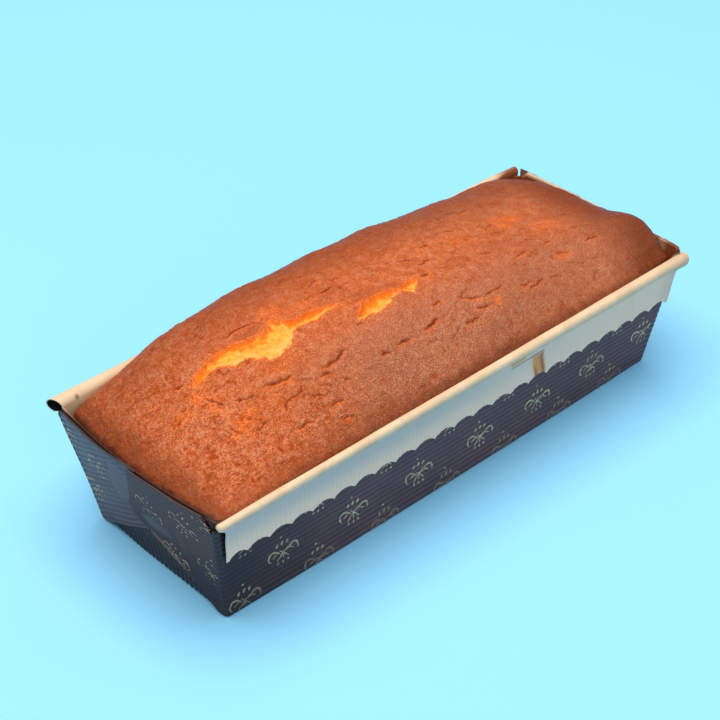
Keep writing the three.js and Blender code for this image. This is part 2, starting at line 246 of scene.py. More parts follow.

# Parts of the crust that differ in texture, in painted glints and in painted sheen, how much of each they
# have, and what browning and painted shade take from it
NEAR_PART = (-35, -90)
FRONT_PART = (-8, -34)
BACK_PART = (14, 27)
PORED_FRONT = (0.4, 30, -30)
PORED_BACK = 0.6
PORE_START = (0.68, 0.42)
PORE_EDGE = 0.22
PIT_TINT = 0.8
PIT_LOSS = 0.7
WRINKLED = (0.15, 1)
ROUGH = 0.35
ROUGH_NEAR = 0.65
ROUGH_FRONT = (0.5, 0, -60)
ROUGH_BACK = 0.6
ROUGH_LOSS = 0.4
# Grain of the crust with painted glints: its pale specks stand for glints on small bumps
GRAINY = 0.78
GRAINY_NEAR = 0.22
GRAINY_FRONT = (60, 10)
GRAINY_BACK = 0.3
GRAINY_LOSS = 0.6
# Painted sheen makes the front slope paler and greyer; the far part is duller in tone
DULL_FRONT = (0.4, -70, -20, -4, -22)
DULL_FAR = (0.15, 0, 50)
# Painted highlight along the crust's wrinkle ridges
RIDGE_TINT = 0.22

# Board of the case
RIB_PITCH = 2.25
RIB_DEPTH = 0.3
RIB_SHADE = 0.5
PRESSED_RIB = 0.45
TAB_RIB_SLOPE = 0.49
CORNER_RIBS = 0.4
SHEET = 0.7

# Long walls and their tabs
TAB_COLUMNS = 84
TURN_COLUMNS = 7
WALL_COLUMNS = 90
WALL_ROWS = 116
WALL_REACH = 44.2
TAB_REACH = 46.4
FAR_TOP = 47.2
FAR_TOP_SAG = 1.6
FAR_TOP_FRONT = (0.4, -12, -36)
FAR_TAB_GAP = 0.3
TAB_EDGE_NOISE = {-1: [(0.2, 5, 60)], 1: [(0.2, 5, 62)]}
ENDS_APART = 20
CORNER_TOPS = {(-1, -1): 41.6, (1, -1): 43.4, (-1, 1): 48, (1, 1): 44.1}
CORNER_TOP_REACH = (1, 7)
GAPE_SLOPE = 1.8
GAPE_REACH = 3.4
SEAMS = {
    -1: [(18.6, 0.5), (20.8, -4.5), (25, -7), (31, -4), (38, -1.5), (46.6, 1)],
    1: [(18.6, 0), (30, 2.5), (46.6, -0.5)],
}
SEAM_OVERLAP = 3
TAB_SINK = (0.85, 15, 1)

# Where the ribs of the near end are crushed, by side: distance from the middle, height and reach each way
CRUSHED = {-1: (7, 24, 7.5, 2.4), 1: (8, 32.5, 6.5, 10)}
CRUSHED_EDGE = (1.2, 0.6)
CRUSHED_NOISE = [(0.5, 3, 51)]

# Bulges of the walls
BULGE_TOP = 27
FRONT_BULGE = [(-104, 1.5), (-60, 1.9), (0, 1.6), (60, 0.8), (95, 0)]
FRONT_BULGE_Y = (-15, -33)
NEAR_BULGE = (1.4, -70, -98)
NEAR_BULGE_SHARE = (1, 0.2, 5, 33)
BACK_FLARE = (1.6, -85, -104, 12, 40)
BACK_FLARE_Y = (28, 40)
MOST_LENGTH = 110.95

# Bare and shaded board of the walls
TORN_FOOT = (1, 1, 4, 19, 15)
TORN_FOOT_RISE = (3, 1.2)
TORN_FOOT_NOISE = [(0.8, 2, 71)]
SCUFF = (19.5, 25, 1.8, 5, 0.3)
UPPER_TAB_BARE = (0.12, 15, 30)
CUT_EDGE_BARE = (0.4, 0.6, 0.1)
NEAR_TAB_SHADE = (0.72, 0.4, 5, 36)
CRUSHED_SHADE_LOSS = 0.15
FRONT_SHADE = (0.78, -35, -110)
NEAR_EDGE_SHADE = (0.9, 0.7, 0.1)
INSIDE_BARE = (0.05, 0.4)
INSIDE_SHADE = 0.6

# Base and end panels
BASE_COLUMNS = 190
BASE_ROWS = 40
PANEL_ROWS = 22
PANEL_REACH = 44
PANEL_GAP = 0.1
PANEL_RIB_DEPTH = 0.35
PANEL_SHADE = 0.7
BASE_SHEET = 0.6

# Liner
LINER_SHEET = 0.3
LINER_ROWS = 30
LINER_TURN = 6
LINER_RADIUS = 1
LINER_LONG_STEPS = 60
LINER_SHORT_STEPS = 40
LINER_SIDE_TOP = 39.5
LINER_NEAR_TOP = 45.9
LINER_ABOVE_TAB = 0.1
LINER_LIP = (1.05, 44.2, 44.8)
LINER_END_SHARE = (0.985, 0.999)
LINER_BOW_SHARE = (0.9, 1)
LINER_TOP_CROWDING = 2.2
FAR_CORNER_CUT = (3, 37.6, 39.4)
LINER_END = 96
LINER_SIDE_TOAST = 0.4
NEAR_TOAST = (0.8, 0.4, 33, 38)
# Painted highlight along a fold of the far end's liner, and a painted lit edge near its top
STRIPE_Y = -32
PALE_STRIPE = (1.4, 0.55)
LIT_EDGE = (0.75, -14, -2, 38, 36)
LIT_EDGE_FROM_TOP = (-0.9, -0.3)
# Painted shade in the gap along the near end's top edge
NEAR_BURN = (0.9, 36, 28, 45.2, 45.7)

# Rims, fitted to the photo: the front one tilts and the back one stands higher than in the solids
FRONT_RIM_RADIUS = (1.75, 2.45)
FRONT_RIM_FAR_FLARE = (0.35, 97, 107)
FRONT_RIM_SHIFT = -0.35
FRONT_RIM_CLIMB = 0.0105
BACK_RIM_LIFT = 1.1
BACK_RIM_FAR_PINCH = 0.6
BACK_RIM_SLANT = 3
BACK_RIM_REACH = 1.6
BACK_RIM_SLANTED = (8, 0)
ROLL_STEPS = 18
THROAT_STEPS = 6
THROAT_PULL = 0.8
FLAP_STEPS = 28
RIM_COLUMNS = 430
LINING_COLUMNS = 200
RIM_SPACING = [(-1, 0.06), (-0.985, 0.5), (0.985, 0.5), (1, 0.3)]
CREAM_LAYER = 0.24
LINING_DEPTHS = (0.28, 0.5)
RIM_FACE_FOOT = 38.8
RIM_TIP = 1.3
LEAST_ROLL = 0.06
MOST_ROLL_OUT = 1.4
RIM_SAG = 0.12
FLAP_SWAY = 0.15
SAG_NOISE = [(0.12, 17, 81)]
SAG_APART = 30
SWAY_NOISE = [(0.15, 24, 82)]
SWAY_APART = 60
FLAP_LINE_PITCH = 2.0
FLAP_LINE_DEPTH = 0.1
FLAP_LINE_GROWTH = 4
FLAP_CUT_FROM = 95
NEAR_FLAP_END = (102.6, 103.6)
FAR_FLAP_GAP = (0.3, 1.4)

# Tints of the rims
RIM_INSIDE = (0.6, -0.9)
FAR_INSIDE_TOAST = (0.95, 84, 98)
FAR_INSIDE_SLANT = 3
FAR_INSIDE_Z = 47
FAR_TIP_TOAST = (0.8, 95, 104)
NEAR_INSIDE_TOAST = (0.55, -88, -104, 46, 43)
FRONT_RIM_TOAST = 0.2
INSIDE_FOOT_TOAST = (0.35, 46.5, 43.5)
HOLLOW_TOAST = (0.8, 0.45)
HOLLOW_RADII_DOWN = 1.7
HOLLOW_OUT = (0.4, 0.9)
HOLLOW_PATCHES = (-0.4, 0.5)
HOLLOW_NOISE = [(1, 2.5, 92)]
# Painted shade in the open near end of the back roll
RIM_SPOT = (-99.7, 46.8, 0.6, 0.6, 1)
FLAP_FACE = (1, 0.2, 0.5, 43.4, 41.8)
# Painted cool shade on the upper flap under the roll
FLAP_COOL = (1, 80, -30, 29, 41)
FLAP_LINE_SHADE = (0.07, 0.028, 0, 70)
LINING_SHADE = (-96, -100)

# Stain on the front flap: a drip with dark edges, a patch above it and the line between them
STAINED_OUT = 0.3
DRIP_X = (33.6, 36.6, 39, 27)
DRIP = (0.9, 3.6, 1.8)
DRIP_TOP = (39.6, 38.8)
DRIP_NOISE = [(0.5, 1.6, 91)]
DRIP_RIGHT_EDGE = {"aside": 2, "reach": 0.9, "z": (27, 29)}
DRIP_LEFT_EDGE = {"aside": -1.7, "reach": 0.6, "z": (36, 31)}
DRIP_EDGE_STRENGTH = 0.7
PATCH_X = 23.5
PATCH_Z = 42
PATCH = (0.8, 4.2, 3, 1.8, 0.8)
LINE_X = 28.5
LINE_Z = 39.24
LINE_CLIMB = 0.02
LINE = (0.75, 9, 7, 0.5, 0.15)

# Gold ornament: strokes as runs of points about the motif's middle, with the half width
ORNAMENT = [
    ([(-1.2, 0.4), (-2.8, 1.9), (-4.6, 2.8), (-6.1, 2.2), (-6.5, 0.7), (-6.0, -0.9), (-5.2, -1.7)], 0.3),
    ([(1.3, 0.5), (2.8, 2.0), (4.4, 2.9), (5.8, 2.3), (6.5, 0.9), (6.7, -1.1)], 0.3),
    ([(-2.7, -2.7), (-1.2, -0.9), (0.4, 0.7), (1.9, 2.2)], 0.22),
    ([(2.8, -2.6), (1.3, -0.9), (-0.3, 0.7), (-1.7, 2.3)], 0.22),
    ([(0.1, -2.3), (0.1, 1.5)], 0.2),
    ([(-4.6, -0.2), (-3.2, 0.9), (-2.2, 1.2)], 0.18),
    ([(4.7, 0.0), (3.4, 1.0), (2.4, 1.3)], 0.18),
    ([(-3.2, 4.2), (-2.7, 5.9)], 0.36),
    ([(-0.9, 4.4), (-0.6, 6.4)], 0.36),
    ([(1.3, 4.3), (1.8, 6.0)], 0.36),
    ([(-1.6, 8.1), (-1.4, 9.0)], 0.4),
    ([(-1.9, -3.2), (-2.3, -4.4)], 0.3),
    ([(0.1, -3.3), (0.1, -4.7)], 0.3),
    ([(2.1, -3.2), (2.6, -4.4)], 0.3),
]
ORNAMENT_SCALE = 0.93
PRINT_STEP = 0.3
PRINT_PROUD = 0.05
PRINT_DEEP = 0.25
PRINT_FOLLOW = 0.45
STROKE_END = 0.05

# Rows of print on the long walls: x of the middle ornament, lowest level and its x, and rise away from there
PRINT_ROWS = [(11, 12.9, -8, 0.0003), (-3.9, 0.5, 10, 0.00025), (-5.2, 28, 0, 0)]
ROW_REACH = 3
ROW_PITCH = 28.8
ROW_SHRINK = 0.28
WALL_PRINT_WEIGHT = 1.22
WALL_PRINT_FOOT = 0.4
WALL_PRINT_TOP = 30
WALL_PRINT_REACH = 99

# Ornaments on the tabs by side, as distance from the middle and height
TAB_ORNAMENTS = {
    -1: [(6, 30.8), (23.9, 35), (31.4, 18), (13.5, 14.2), (36.4, 41.7)],
    1: [(21, 32), (30, 15), (37, 35.8)],
}
TAB_PRINT_WEIGHT = 1.0
TAB_PRINT_TURN = -0.45
TAB_PRINT_INKED = 0.8
TAB_PRINT_ABOVE_FOOT = 0.6
TAB_PRINT_BELOW_TOP = 1.5
TAB_PRINT_FROM_SEAM = 0.5

# Wear of the print, and painted shade on it: on the front's near part, in the rib hollows and, with wear, on
# the tabs
NEAR_WEAR = (0.45, -40, -95)
HOLLOW_WEAR = 0.5
FOOT_WEAR = (0.72, 9, 4)
TAB_WEAR = (0.45, 0.15)
TAB_DEPTH = 1.5

# Floor and lights, in metres and watts
FLOOR_REACH = 12.0
FLOOR_TONE = (146, 212, 248)
LIGHT_TARGET = (0, 0, 0.03)
LIGHT_UP = (0, 1, 0.01)
LIGHTS = {
    "key": {"at": (-0.08, 0.1, 1.45), "size": 1.5, "power": 31, "colour": (1, 0.88, 0.74)},
    "fill": {"at": (-0.7, -1.3, 0.9), "size": 1.0, "power": 5.5, "colour": (1, 0.95, 0.9)},
}
SKY_LOW = (0.1, 0.16, 0.2, 1)
SKY_HIGH = (0.24, 0.44, 0.62, 1)
SKY_SPAN = (0.0, 0.8)

# Camera, fitted to the photo
CAMERA_AT = (-376.55, -408.81, 432.07)
CAMERA_TURN = {"azimuth": -41.78, "elevation": 35.70, "roll": -1.20}
CAMERA_LENS = 99.16
SENSOR_WIDTH = 36


def lerp(a, b, t):
    return a + (b - a) * t


# Share of the way from one value to another, easing at both: the second may be the lower one
def smooth(value, start, stop):
    t = np.clip((value - start) / (stop - start), 0, 1)
    return t * t * (3 - 2 * t)


# Strength that grows over a span of one value, or over spans of two
def ramp(value, strength, start, stop):
    return strength * smooth(value, start, stop)


def area(a, b, strength, start_a, stop_a, start_b, stop_b):
    return strength * smooth(a, start_a, stop_a) * smooth(b, start_b, stop_b)


# Change from one level to another over a span of a value
def blend(value, before, after, start, stop):
    return lerp(before, after, smooth(value, start, stop))


def bell(value, reach, strength=1):
    return strength * np.exp(-(value / reach) ** 2)


# Squared distance from a place, measured in its reach each way
def oval(x, y, at_x, at_y, reach_x, reach_y):
    return ((x - at_x) / reach_x) ** 2 + ((y - at_y) / reach_y) ** 2


# Soft patch about a place, with its reach each way and its strength
def spot(x, y, at_x, at_y, reach_x, reach_y, strength, ragged=0):
    return strength * np.exp(-np.maximum(oval(x, y, at_x, at_y, reach_x, reach_y) + ragged, 0))


def most(*masks):
    return reduce(np.maximum, masks)


# Ribs along a face: 0 on a crest and 1 in the hollow between two
def hollow(place, pitch):
    return 0.5 - 0.5 * np.cos(2 * np.pi * place / pitch)


# Noise over a plane, from -1 to 1, with bumps of about the given size
def noise(x, y, size, seed):
    table = np.random.default_rng(seed).uniform(-1, 1, (NOISE_CELLS, NOISE_CELLS))
    turn = 0.7 + seed
    across = (x * math.cos(turn) - y * math.sin(turn)) / size
    along = (x * math.sin(turn) + y * math.cos(turn)) / size
    column, row = np.floor(across).astype(int), np.floor(along).astype(int)
    s, t = smooth(across - column, 0, 1), smooth(along - row, 0, 1)

    def corner(i, j):
        return table[(column + i) % NOISE_CELLS, (row + j) % NOISE_CELLS]

    return lerp(lerp(corner(0, 0), corner(1, 0), s), lerp(corner(0, 1), corner(1, 1), s), t)


def layered(x, y, layers):
    return sum(height * noise(x, y, size, seed) for height, size, seed in layers)


# Distance to a run of points, and the share of the run at the nearest place
def run_distance(x, y, points):
    nearest = np.full(np.shape(x), np.inf)
    share = np.zeros(np.shape(x))
    for i, ((ax, ay), (bx, by)) in enumerate(zip(points, points[1:])):
        dx, dy = bx - ax, by - ay
        t = np.clip(((x - ax) * dx + (y - ay) * dy) / (dx * dx + dy * dy), 0, 1)
        away = np.hypot(x - ax - t * dx, y - ay - t * dy)
        share = np.where(away < nearest, (i + t) / (len(points) - 1), share)
        nearest = np.minimum(nearest, away)
    return nearest, share


# Whether each place lies inside a closed outline
def inside(x, y, outline):
    crossed = np.zeros(np.shape(x), bool)
    for (ax, ay), (bx, by) in zip(outline, outline[1:] + outline[:1]):
        spans = (ay > y) != (by > y)
        with np.errstate(divide="ignore", invalid="ignore"):
            at = ax + (y - ay) * (bx - ax) / (by - ay)
        crossed ^= spans & (x < at)
    return crossed


# Rising places from -1 to 1 whose spacing follows the given stops of place and spacing
def crowded(count, stops):
    fine = np.linspace(-1, 1, SPACING_STEPS)
    density = 1 / np.interp(fine, *zip(*stops))
    total = np.concatenate([[0], np.cumsum((density[1:] + density[:-1]) / 2)])
    return np.interp(np.linspace(0, total[-1], count + 1), total, fine)


# Half the length and width of the case at a height, and how far its ends bow out there
def half_length(z):
    return BASE_LENGTH / 2 + END_LEAN * z


def half_width(z):
    return BASE_WIDTH / 2 + SIDE_LEAN * z


def end_bow(z):
    return END_BOW * z / END_WALL_TOP


def grid_faces(rows, columns, start=0):
    index = np.arange(rows * columns).reshape(rows, columns) + start
    return np.stack([index[:-1, :-1], index[:-1, 1:], index[1:, 1:], index[1:, :-1]], -1).reshape(-1, 4)


def grid_border(rows, columns):
    index = np.arange(rows * columns).reshape(rows, columns)
    return np.concatenate([index[0, :-1], index[:-1, -1], index[-1, :0:-1], index[:0:-1, 0]])


# Thin closed body between two grids of points of one shape
def closed_sheet(outer, inner):
    rows, columns = outer.shape[:2]
    count = rows * columns
    border = grid_border(rows, columns)
    following = np.roll(border, -1)
    faces = np.concatenate([
        grid_faces(rows, columns),
        grid_faces(rows, columns, count)[:, ::-1],
        np.stack([following, border, border + count, following + count], -1),
    ])
    return np.concatenate([outer.reshape(-1, 3), inner.reshape(-1, 3)]), faces


# Unit normals of a grid of points, pointing away from the middle of the case
def outward(grid):
    normal = np.cross(np.gradient(grid, axis=1), np.gradient(grid, axis=0))
    normal /= np.linalg.norm(normal, axis=-1, keepdims=True) + 1e-12
    middle = np.array([0, 0, SIDE_WALL_TOP / 2])
    facing = np.sign(np.sum(normal * (grid - middle), axis=-1, keepdims=True))
    return normal * facing


def show(name, data):
    made = bpy.data.objects.new(name, data)
    scene.collection.objects.link(made)
    return made


# Makes a piece from points and faces. Masks become attributes of its points, and one left out reads as 0.
def piece(name, points, faces, material, slot, node, **masks):
    mesh = bpy.data.meshes.new(name)
    mesh.from_pydata((np.asarray(points) * MM).tolist(), [], [list(f) for f in faces])
    work = bmesh.new()
    work.from_mesh(mesh)
    bmesh.ops.recalc_face_normals(work, faces=work.faces[:])
    work.to_mesh(mesh)
    work.free()
    mesh.shade_smooth()
    mesh.set_sharp_from_angle(angle=math.radians(SHARP_DEGREES))
    for mask, values in masks.items():
        attribute = mesh.attributes.new(mask, "FLOAT", "POINT")
        attribute.data.foreach_set("value", np.asarray(values, np.float32).ravel())
    mesh.materials.append(material)
    made = show(name, mesh)
    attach(made, "root")
    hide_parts(node)


def srgb(red, green, blue):
    share = np.array([red, green, blue]) / 255
    linear = np.where(share <= 0.04045, share / 12.92, ((share + 0.055) / 1.055) ** 2.4)
    return (*linear.tolist(), 1)


# Node tree of a material or the world, with short ways to add what is used here
class Nodes:
    def __init__(self, owner):
        owner.use_nodes = True
        self.tree = owner.node_tree
        self.place = self.add("ShaderNodeTexCoord").outputs

    # Gives an input a value or another node's output
    def feed(self, node, key, value):
        if isinstance(value, bpy.types.NodeSocket):
            self.tree.links.new(value, node.inputs[key])
        else:
            node.inputs[key].default_value = value

    def add(self, kind, inputs=None, **settings):
        made = self.tree.nodes.new(kind)
        for key, value in settings.items():
            setattr(made, key, value)
        for key, value in (inputs or {}).items():
            self.feed(made, key, value)
        return made

    # Noise with features of about the given size in millimetres
    def grain(self, size, detail, rough):
        inputs = {"Vector": self.place["Object"], "Scale": 1 / (size * MM)}
        inputs |= {"Detail": detail, "Roughness": rough}
        return self.add("ShaderNodeTexNoise", inputs).outputs["Fac"]

    def spread(self, value, low, high, to_low=0.0, to_high=1.0):
        inputs = {"Value": value, "From Min": low, "From Max": high, "To Min": to_low, "To Max": to_high}
        return self.add("ShaderNodeMapRange", inputs, interpolation_type="SMOOTHSTEP").outputs["Result"]

    def times(self, a, b):
        return self.add("ShaderNodeMath", {0: a, 1: b}, operation="MULTIPLY").outputs[0]

    # Mix of two colours, which are inputs 6 and 7 of the node
    def mix(self, share, a, b):
        return self.add("ShaderNodeMix", {0: share, 6: a, 7: b}, data_type="RGBA").outputs[2]

    def mask(self, name):
        return self.add("ShaderNodeAttribute", attribute_name=name).outputs["Fac"]

    # Lays tones over a colour where the masks that they are named for say
    def tint(self, colour, **tones):
        for name, tone in tones.items():
            colour = self.mix(self.mask(name), colour, srgb(*tone))
        return colour

    def bump(self, height, distance, strength, below=None):
        inputs = {"Height": height, "Distance": distance * MM, "Strength": strength}
        if below is not None:
            inputs["Normal"] = below
        return self.add("ShaderNodeBump", inputs).outputs["Normal"]

    def surface(self, colour, roughness, specular, normal=None):
        shader = self.tree.nodes["Principled BSDF"]
        self.feed(shader, "Base Color", colour)
        self.feed(shader, "Roughness", roughness)
        self.feed(shader, "Specular IOR Level", specular)
        if normal is not None:
            self.feed(shader, "Normal", normal)


def crust_material():
    material = bpy.data.materials.new("sponge_crust")
    nodes = Nodes(material)
    broad = nodes.grain(24, 2, 0.5)
    bloom = nodes.grain(4.2, 4, 0.65)
    mottle = nodes.grain(3.2, 4, 0.62)
    fleck = nodes.grain(1.3, 3, 0.6)
    speck = nodes.grain(0.52, 2, 0.55)
    rough = nodes.mask("rough")
    grainy = nodes.mask("grainy")
    colour = nodes.mix(nodes.spread(broad, 0.35, 0.65), srgb(200, 99, 48), srgb(211, 111, 56))
    colour = nodes.mix(nodes.times(nodes.spread(bloom, 0.42, 0.64), 0.42), colour, srgb(203, 132, 104))
    colour = nodes.mix(nodes.spread(mottle, 0.38, 0.64), srgb(186, 83, 29), colour)
    # Painted sheen on the front slope, browning with painted shade, and blushes with painted highlights on
    # the crack lips
    colour = nodes.tint(colour, dull=(168, 115, 92), deep=(116, 50, 16), blush=(234, 104, 10))
    dark_fleck = nodes.times(nodes.spread(fleck, 0.54, 0.64), nodes.times(rough, 0.4))
    colour = nodes.mix(dark_fleck, colour, srgb(170, 65, 5))
    # Painted highlight on the wrinkle ridges
    colour = nodes.tint(colour, ridge=(222, 150, 116))
    # Pale specks are painted glints on the crust's small bumps
    pale_speck = nodes.times(nodes.spread(speck, 0.48, 0.7), nodes.times(grainy, 0.26))
    colour = nodes.mix(pale_speck, colour, srgb(238, 180, 150))
    dark_speck = nodes.times(nodes.spread(speck, 0.55, 0.38), nodes.times(grainy, 0.54))
    dark_tone = nodes.mix(nodes.spread(nodes.mask("dull"), 0, 0.5), srgb(158, 60, 4), srgb(138, 70, 38))
    colour = nodes.mix(dark_speck, colour, dark_tone)
    # Pits, charred edges with painted shade in the gap at the paper, and cracks whose dark grooves are partly
    # painted shade
    colour = nodes.tint(colour, pit=(166, 56, 1), char=(56, 20, 7), crack=(126, 42, 2))
    torn = nodes.mask("torn")
    colour = nodes.mix(torn, colour, torn_colour(nodes))
    roughness = nodes.mix(torn, nodes.spread(mottle, 0.3, 0.7, 0.4, 0.58), (0.8, 0.8, 0.8, 1))
    normal = nodes.bump(mottle, 0.5, 0.35)
    normal = nodes.bump(speck, 0.35, 0.6, normal)
    normal = nodes.bump(nodes.times(nodes.spread(fleck, 0.64, 0.5), rough), 0.35, 0.7, normal)
    nodes.surface(colour, roughness, 0.1, normal)
    return material


# Crumb that shows in the splits, painted deep orange as the shade on the far wall
def torn_colour(nodes):
    crumb = nodes.grain(1.6, 4, 0.7)
    colour = nodes.mix(nodes.spread(crumb, 0.35, 0.65), srgb(240, 144, 40), srgb(246, 170, 76))
    colour = nodes.tint(colour, pale=(248, 178, 92))
    warm = nodes.times(nodes.mask("warm"), nodes.spread(crumb, 0.34, 0.6, 0.6, 1))
    return nodes.mix(warm, colour, srgb(236, 104, 8))


def printed_material():
    material = bpy.data.materials.new("printed_paper")
    nodes = Nodes(material)
    fibre = nodes.grain(0.6, 4, 0.7)
    cloud = nodes.grain(14, 3, 0.6)
    colour = nodes.mix(nodes.spread(cloud, 0.35, 0.65), srgb(100, 71, 75), srgb(116, 80, 84))
    colour = nodes.mix(nodes.times(nodes.spread(fibre, 0.5, 0.75), 0.3), colour, srgb(116, 90, 84))
    # Painted shade between the ribs, on the front's near part and tab, along the near top edge, inside, on
    # the base panels and the lining's near end
    colour = nodes.tint(colour, valley=(22, 14, 17), bare=(136, 88, 62))
    nodes.surface(colour, nodes.spread(cloud, 0.3, 0.7, 0.36, 0.48), 0.22, nodes.bump(fibre, 0.08, 0.3))
    return material


def cream_material():
    material = bpy.data.materials.new("cream_paper")
    nodes = Nodes(material)
    fibre = nodes.grain(0.5, 4, 0.7)
    cloud = nodes.grain(9, 3, 0.6)
    colour = nodes.mix(nodes.spread(cloud, 0.35, 0.65), srgb(214, 180, 144), srgb(226, 193, 158))
    # A paler tone on the flap, and painted cool shade on its upper part under the roll
    colour = nodes.tint(colour, ashen=(255, 208, 178), cool=(205, 183, 172))
    colour = nodes.mix(nodes.times(nodes.spread(fibre, 0.52, 0.75), 0.25), colour, srgb(196, 170, 138))
    # Painted shade in the hollows of the flap's fine lines, then toast and stain
    colour = nodes.tint(colour, crease=(120, 120, 118), toast=(124, 58, 20), stain=(236, 142, 64))
    # Dark edges of the stain, and near-black painted shade in the gap at the near end's top and in the back
    # roll's open end
    colour = nodes.tint(colour, stain_edge=(120, 54, 22), burnt=(34, 17, 10))
    nodes.surface(colour, nodes.spread(cloud, 0.3, 0.7, 0.6, 0.75), 0.35, nodes.bump(fibre, 0.06, 0.35))
    return material


def gold_material():
    material = bpy.data.materials.new("gold_print")
    nodes = Nodes(material)
    fibre = nodes.grain(0.7, 3, 0.7)
    colour = nodes.mix(nodes.spread(fibre, 0.35, 0.65), srgb(170, 144, 108), srgb(232, 198, 156))
    # Worn print, and print darkened by painted shade
    colour = nodes.tint(colour, worn=(70, 62, 58))
    nodes.surface(colour, nodes.spread(fibre, 0.3, 0.7, 0.4, 0.55), 0.5, nodes.bump(fibre, 0.05, 0.3))
    return material


def crust_edge(x):
    return CRUST_EDGE - ramp(x, *NEAR_EDGE_DIP)


def crest_rise(x):
    near = CREST_RISE * (1 - ((CREST_X - x) / NEAR_SLOPE_REACH) ** 2)
    along = np.clip((x - CREST_X) / FAR_SLOPE_REACH, 0, 1)
    far = lerp(FAR_RISE, CREST_RISE, 0.5 + 0.5 * np.cos(np.pi * along))
    return np.where(x < CREST_X, near, far)


def cross_share(x, y, limit):
    out = np.clip((y - CREST_Y) / (limit - CREST_Y), 0, 1)
    back = (1 - out ** BACK_SHOULDER_POWER) ** (1 / BACK_SHOULDER_POWER)
    out = np.clip((CREST_Y - y) / (limit + CREST_Y), 0, 1)
    front = 1 - out ** blend(x, *FRONT_SLOPE_POWER)
    return np.where(y > CREST_Y, back, front)


def end_share(x, limit):
    out = np.clip((np.abs(x) - limit) / END_SHOULDER_REACH + 1, 0, 1)
    return (1 - out ** END_SHOULDER_POWER) ** (1 / END_SHOULDER_POWER)


# Broad forms of the crust on its dome: waves, the far hump, and places that lie lower or higher
def crust_forms(x, y):
    turn = 2 * np.pi
    along, across = CRUST_WAVE["slant"]
    wave = np.sin(turn * x / CRUST_WAVE["along"]) * np.cos(turn * y / CRUST_WAVE["across"])
    wave = CRUST_WAVE["rise"] * (wave + np.sin(turn * (x / along - y / across)))
    raised = spot(x, y, *HUMP) + area(x, y, *FAR_BACK_LIFT)
    sunk = spot(x, y, *FAR_CORNER_DIP) + area(x, y, *FAR_EDGE_DIP)
    return wave + raised - sunk


# Plan of the loaf at a height, from shares along and across, with its limits there
def cake_plan(a, b, z):
    side_limit = half_width(z) - PAPER - CLEARANCE
    end_limit = half_length(z) - 2 * PAPER - CLEARANCE + end_bow(z) * (1 - b * b)
    cut = CRUST_CORNER_CUT * np.abs(a * b) ** CRUST_CORNER_POWER
    return a * end_limit - np.sign(a) * cut, b * side_limit - np.sign(b) * cut, end_limit, side_limit


# Masks of the torn splits, and how deep they lie
def split_detail(x, y, warp_x, warp_y):
    ragged = layered(x, y, BAND_NOISE)
    tear = layered(x, y, TEAR_NOISE)
    found = {name: np.zeros(x.shape) for name in ("torn", "warm", "pale", "depth", "blush")}
    for split in SPLITS:
        is_in = inside(warp_x, warp_y, split["far"] + split["near"][::-1])
        from_far = run_distance(warp_x, warp_y, split["far"])[0]
        from_near = run_distance(warp_x, warp_y, split["near"])[0]
        across = from_far / (from_far + from_near + LEAST_SPLIT)
        past_band = across - np.interp(x, *zip(*split["band"])) - ragged
        fringe = most(bell(from_far, *FAR_FRINGE), bell(from_near, *NEAR_FRINGE))
        depth = SPLIT_DEPTH * smooth(from_far, 0, SPLIT_FAR_SLOPE) * smooth(from_near, 0, SPLIT_NEAR_SLOPE)
        here = {
            "torn": is_in * smooth(np.minimum(from_far, from_near) + tear, *TORN_EDGE),
            # deep orange near the far edge is painted shade on the split's far wall
            "warm": is_in * smooth(past_band, *BAND_SOFTNESS),
            "pale": is_in * smooth(across + ragged, *PALE_SHARE),
            "depth": is_in * depth,
            "blush": np.where(is_in, 1, fringe),
        }
        found = {name: most(found[name], here[name]) for name in found}
    return found


# Grooves of the cracks, and the lit lips beside the longer ones
def crack_detail(warp_x, warp_y):
    groove = np.zeros(warp_x.shape)
    lips = np.zeros(warp_x.shape)
    draw = np.random.default_rng(CRACK_SEED)
    for half, runs in CRACKS.items():
        for points in runs:
            away, share = run_distance(warp_x, warp_y, points)
            taper = np.clip(4 * share * (1 - share) + CRACK_END, 0, 1)
            groove = most(groove, draw.uniform(*CRACK_STRENGTH) * taper * bell(away, half))
            # The lip beside each longer crack gets a painted highlight, laid in with the blush
            from_lip = run_distance(warp_x + LIP_X, warp_y + LIP_Y, points)[0]
            lips = most(lips, draw.uniform(*LIP_STRENGTH) * bell(from_lip, LIP_REACH))
    for _ in range(FINE_CRACKS):
        at_x, at_y = draw.uniform(*FINE_CRACK_X), draw.uniform(*FINE_CRACK_Y)
        reach, lean = draw.uniform(*FINE_CRACK_REACH), draw.uniform(*FINE_CRACK_LEAN)
        points = [(at_x - reach, at_y - reach * lean), (at_x + reach, at_y + reach * lean)]
        away = run_distance(warp_x, warp_y, points)[0]
        groove = most(groove, draw.uniform(*FINE_CRACK_STRENGTH) * bell(away, FINE_CRACK_HALF))
    return groove, lips


# Strongest of several soft patches with ragged edges
def patches(x, y, places, noise_layers):
    ragged = layered(x, y, noise_layers)
    return most(*(spot(x, y, *place, ragged) for place in places))


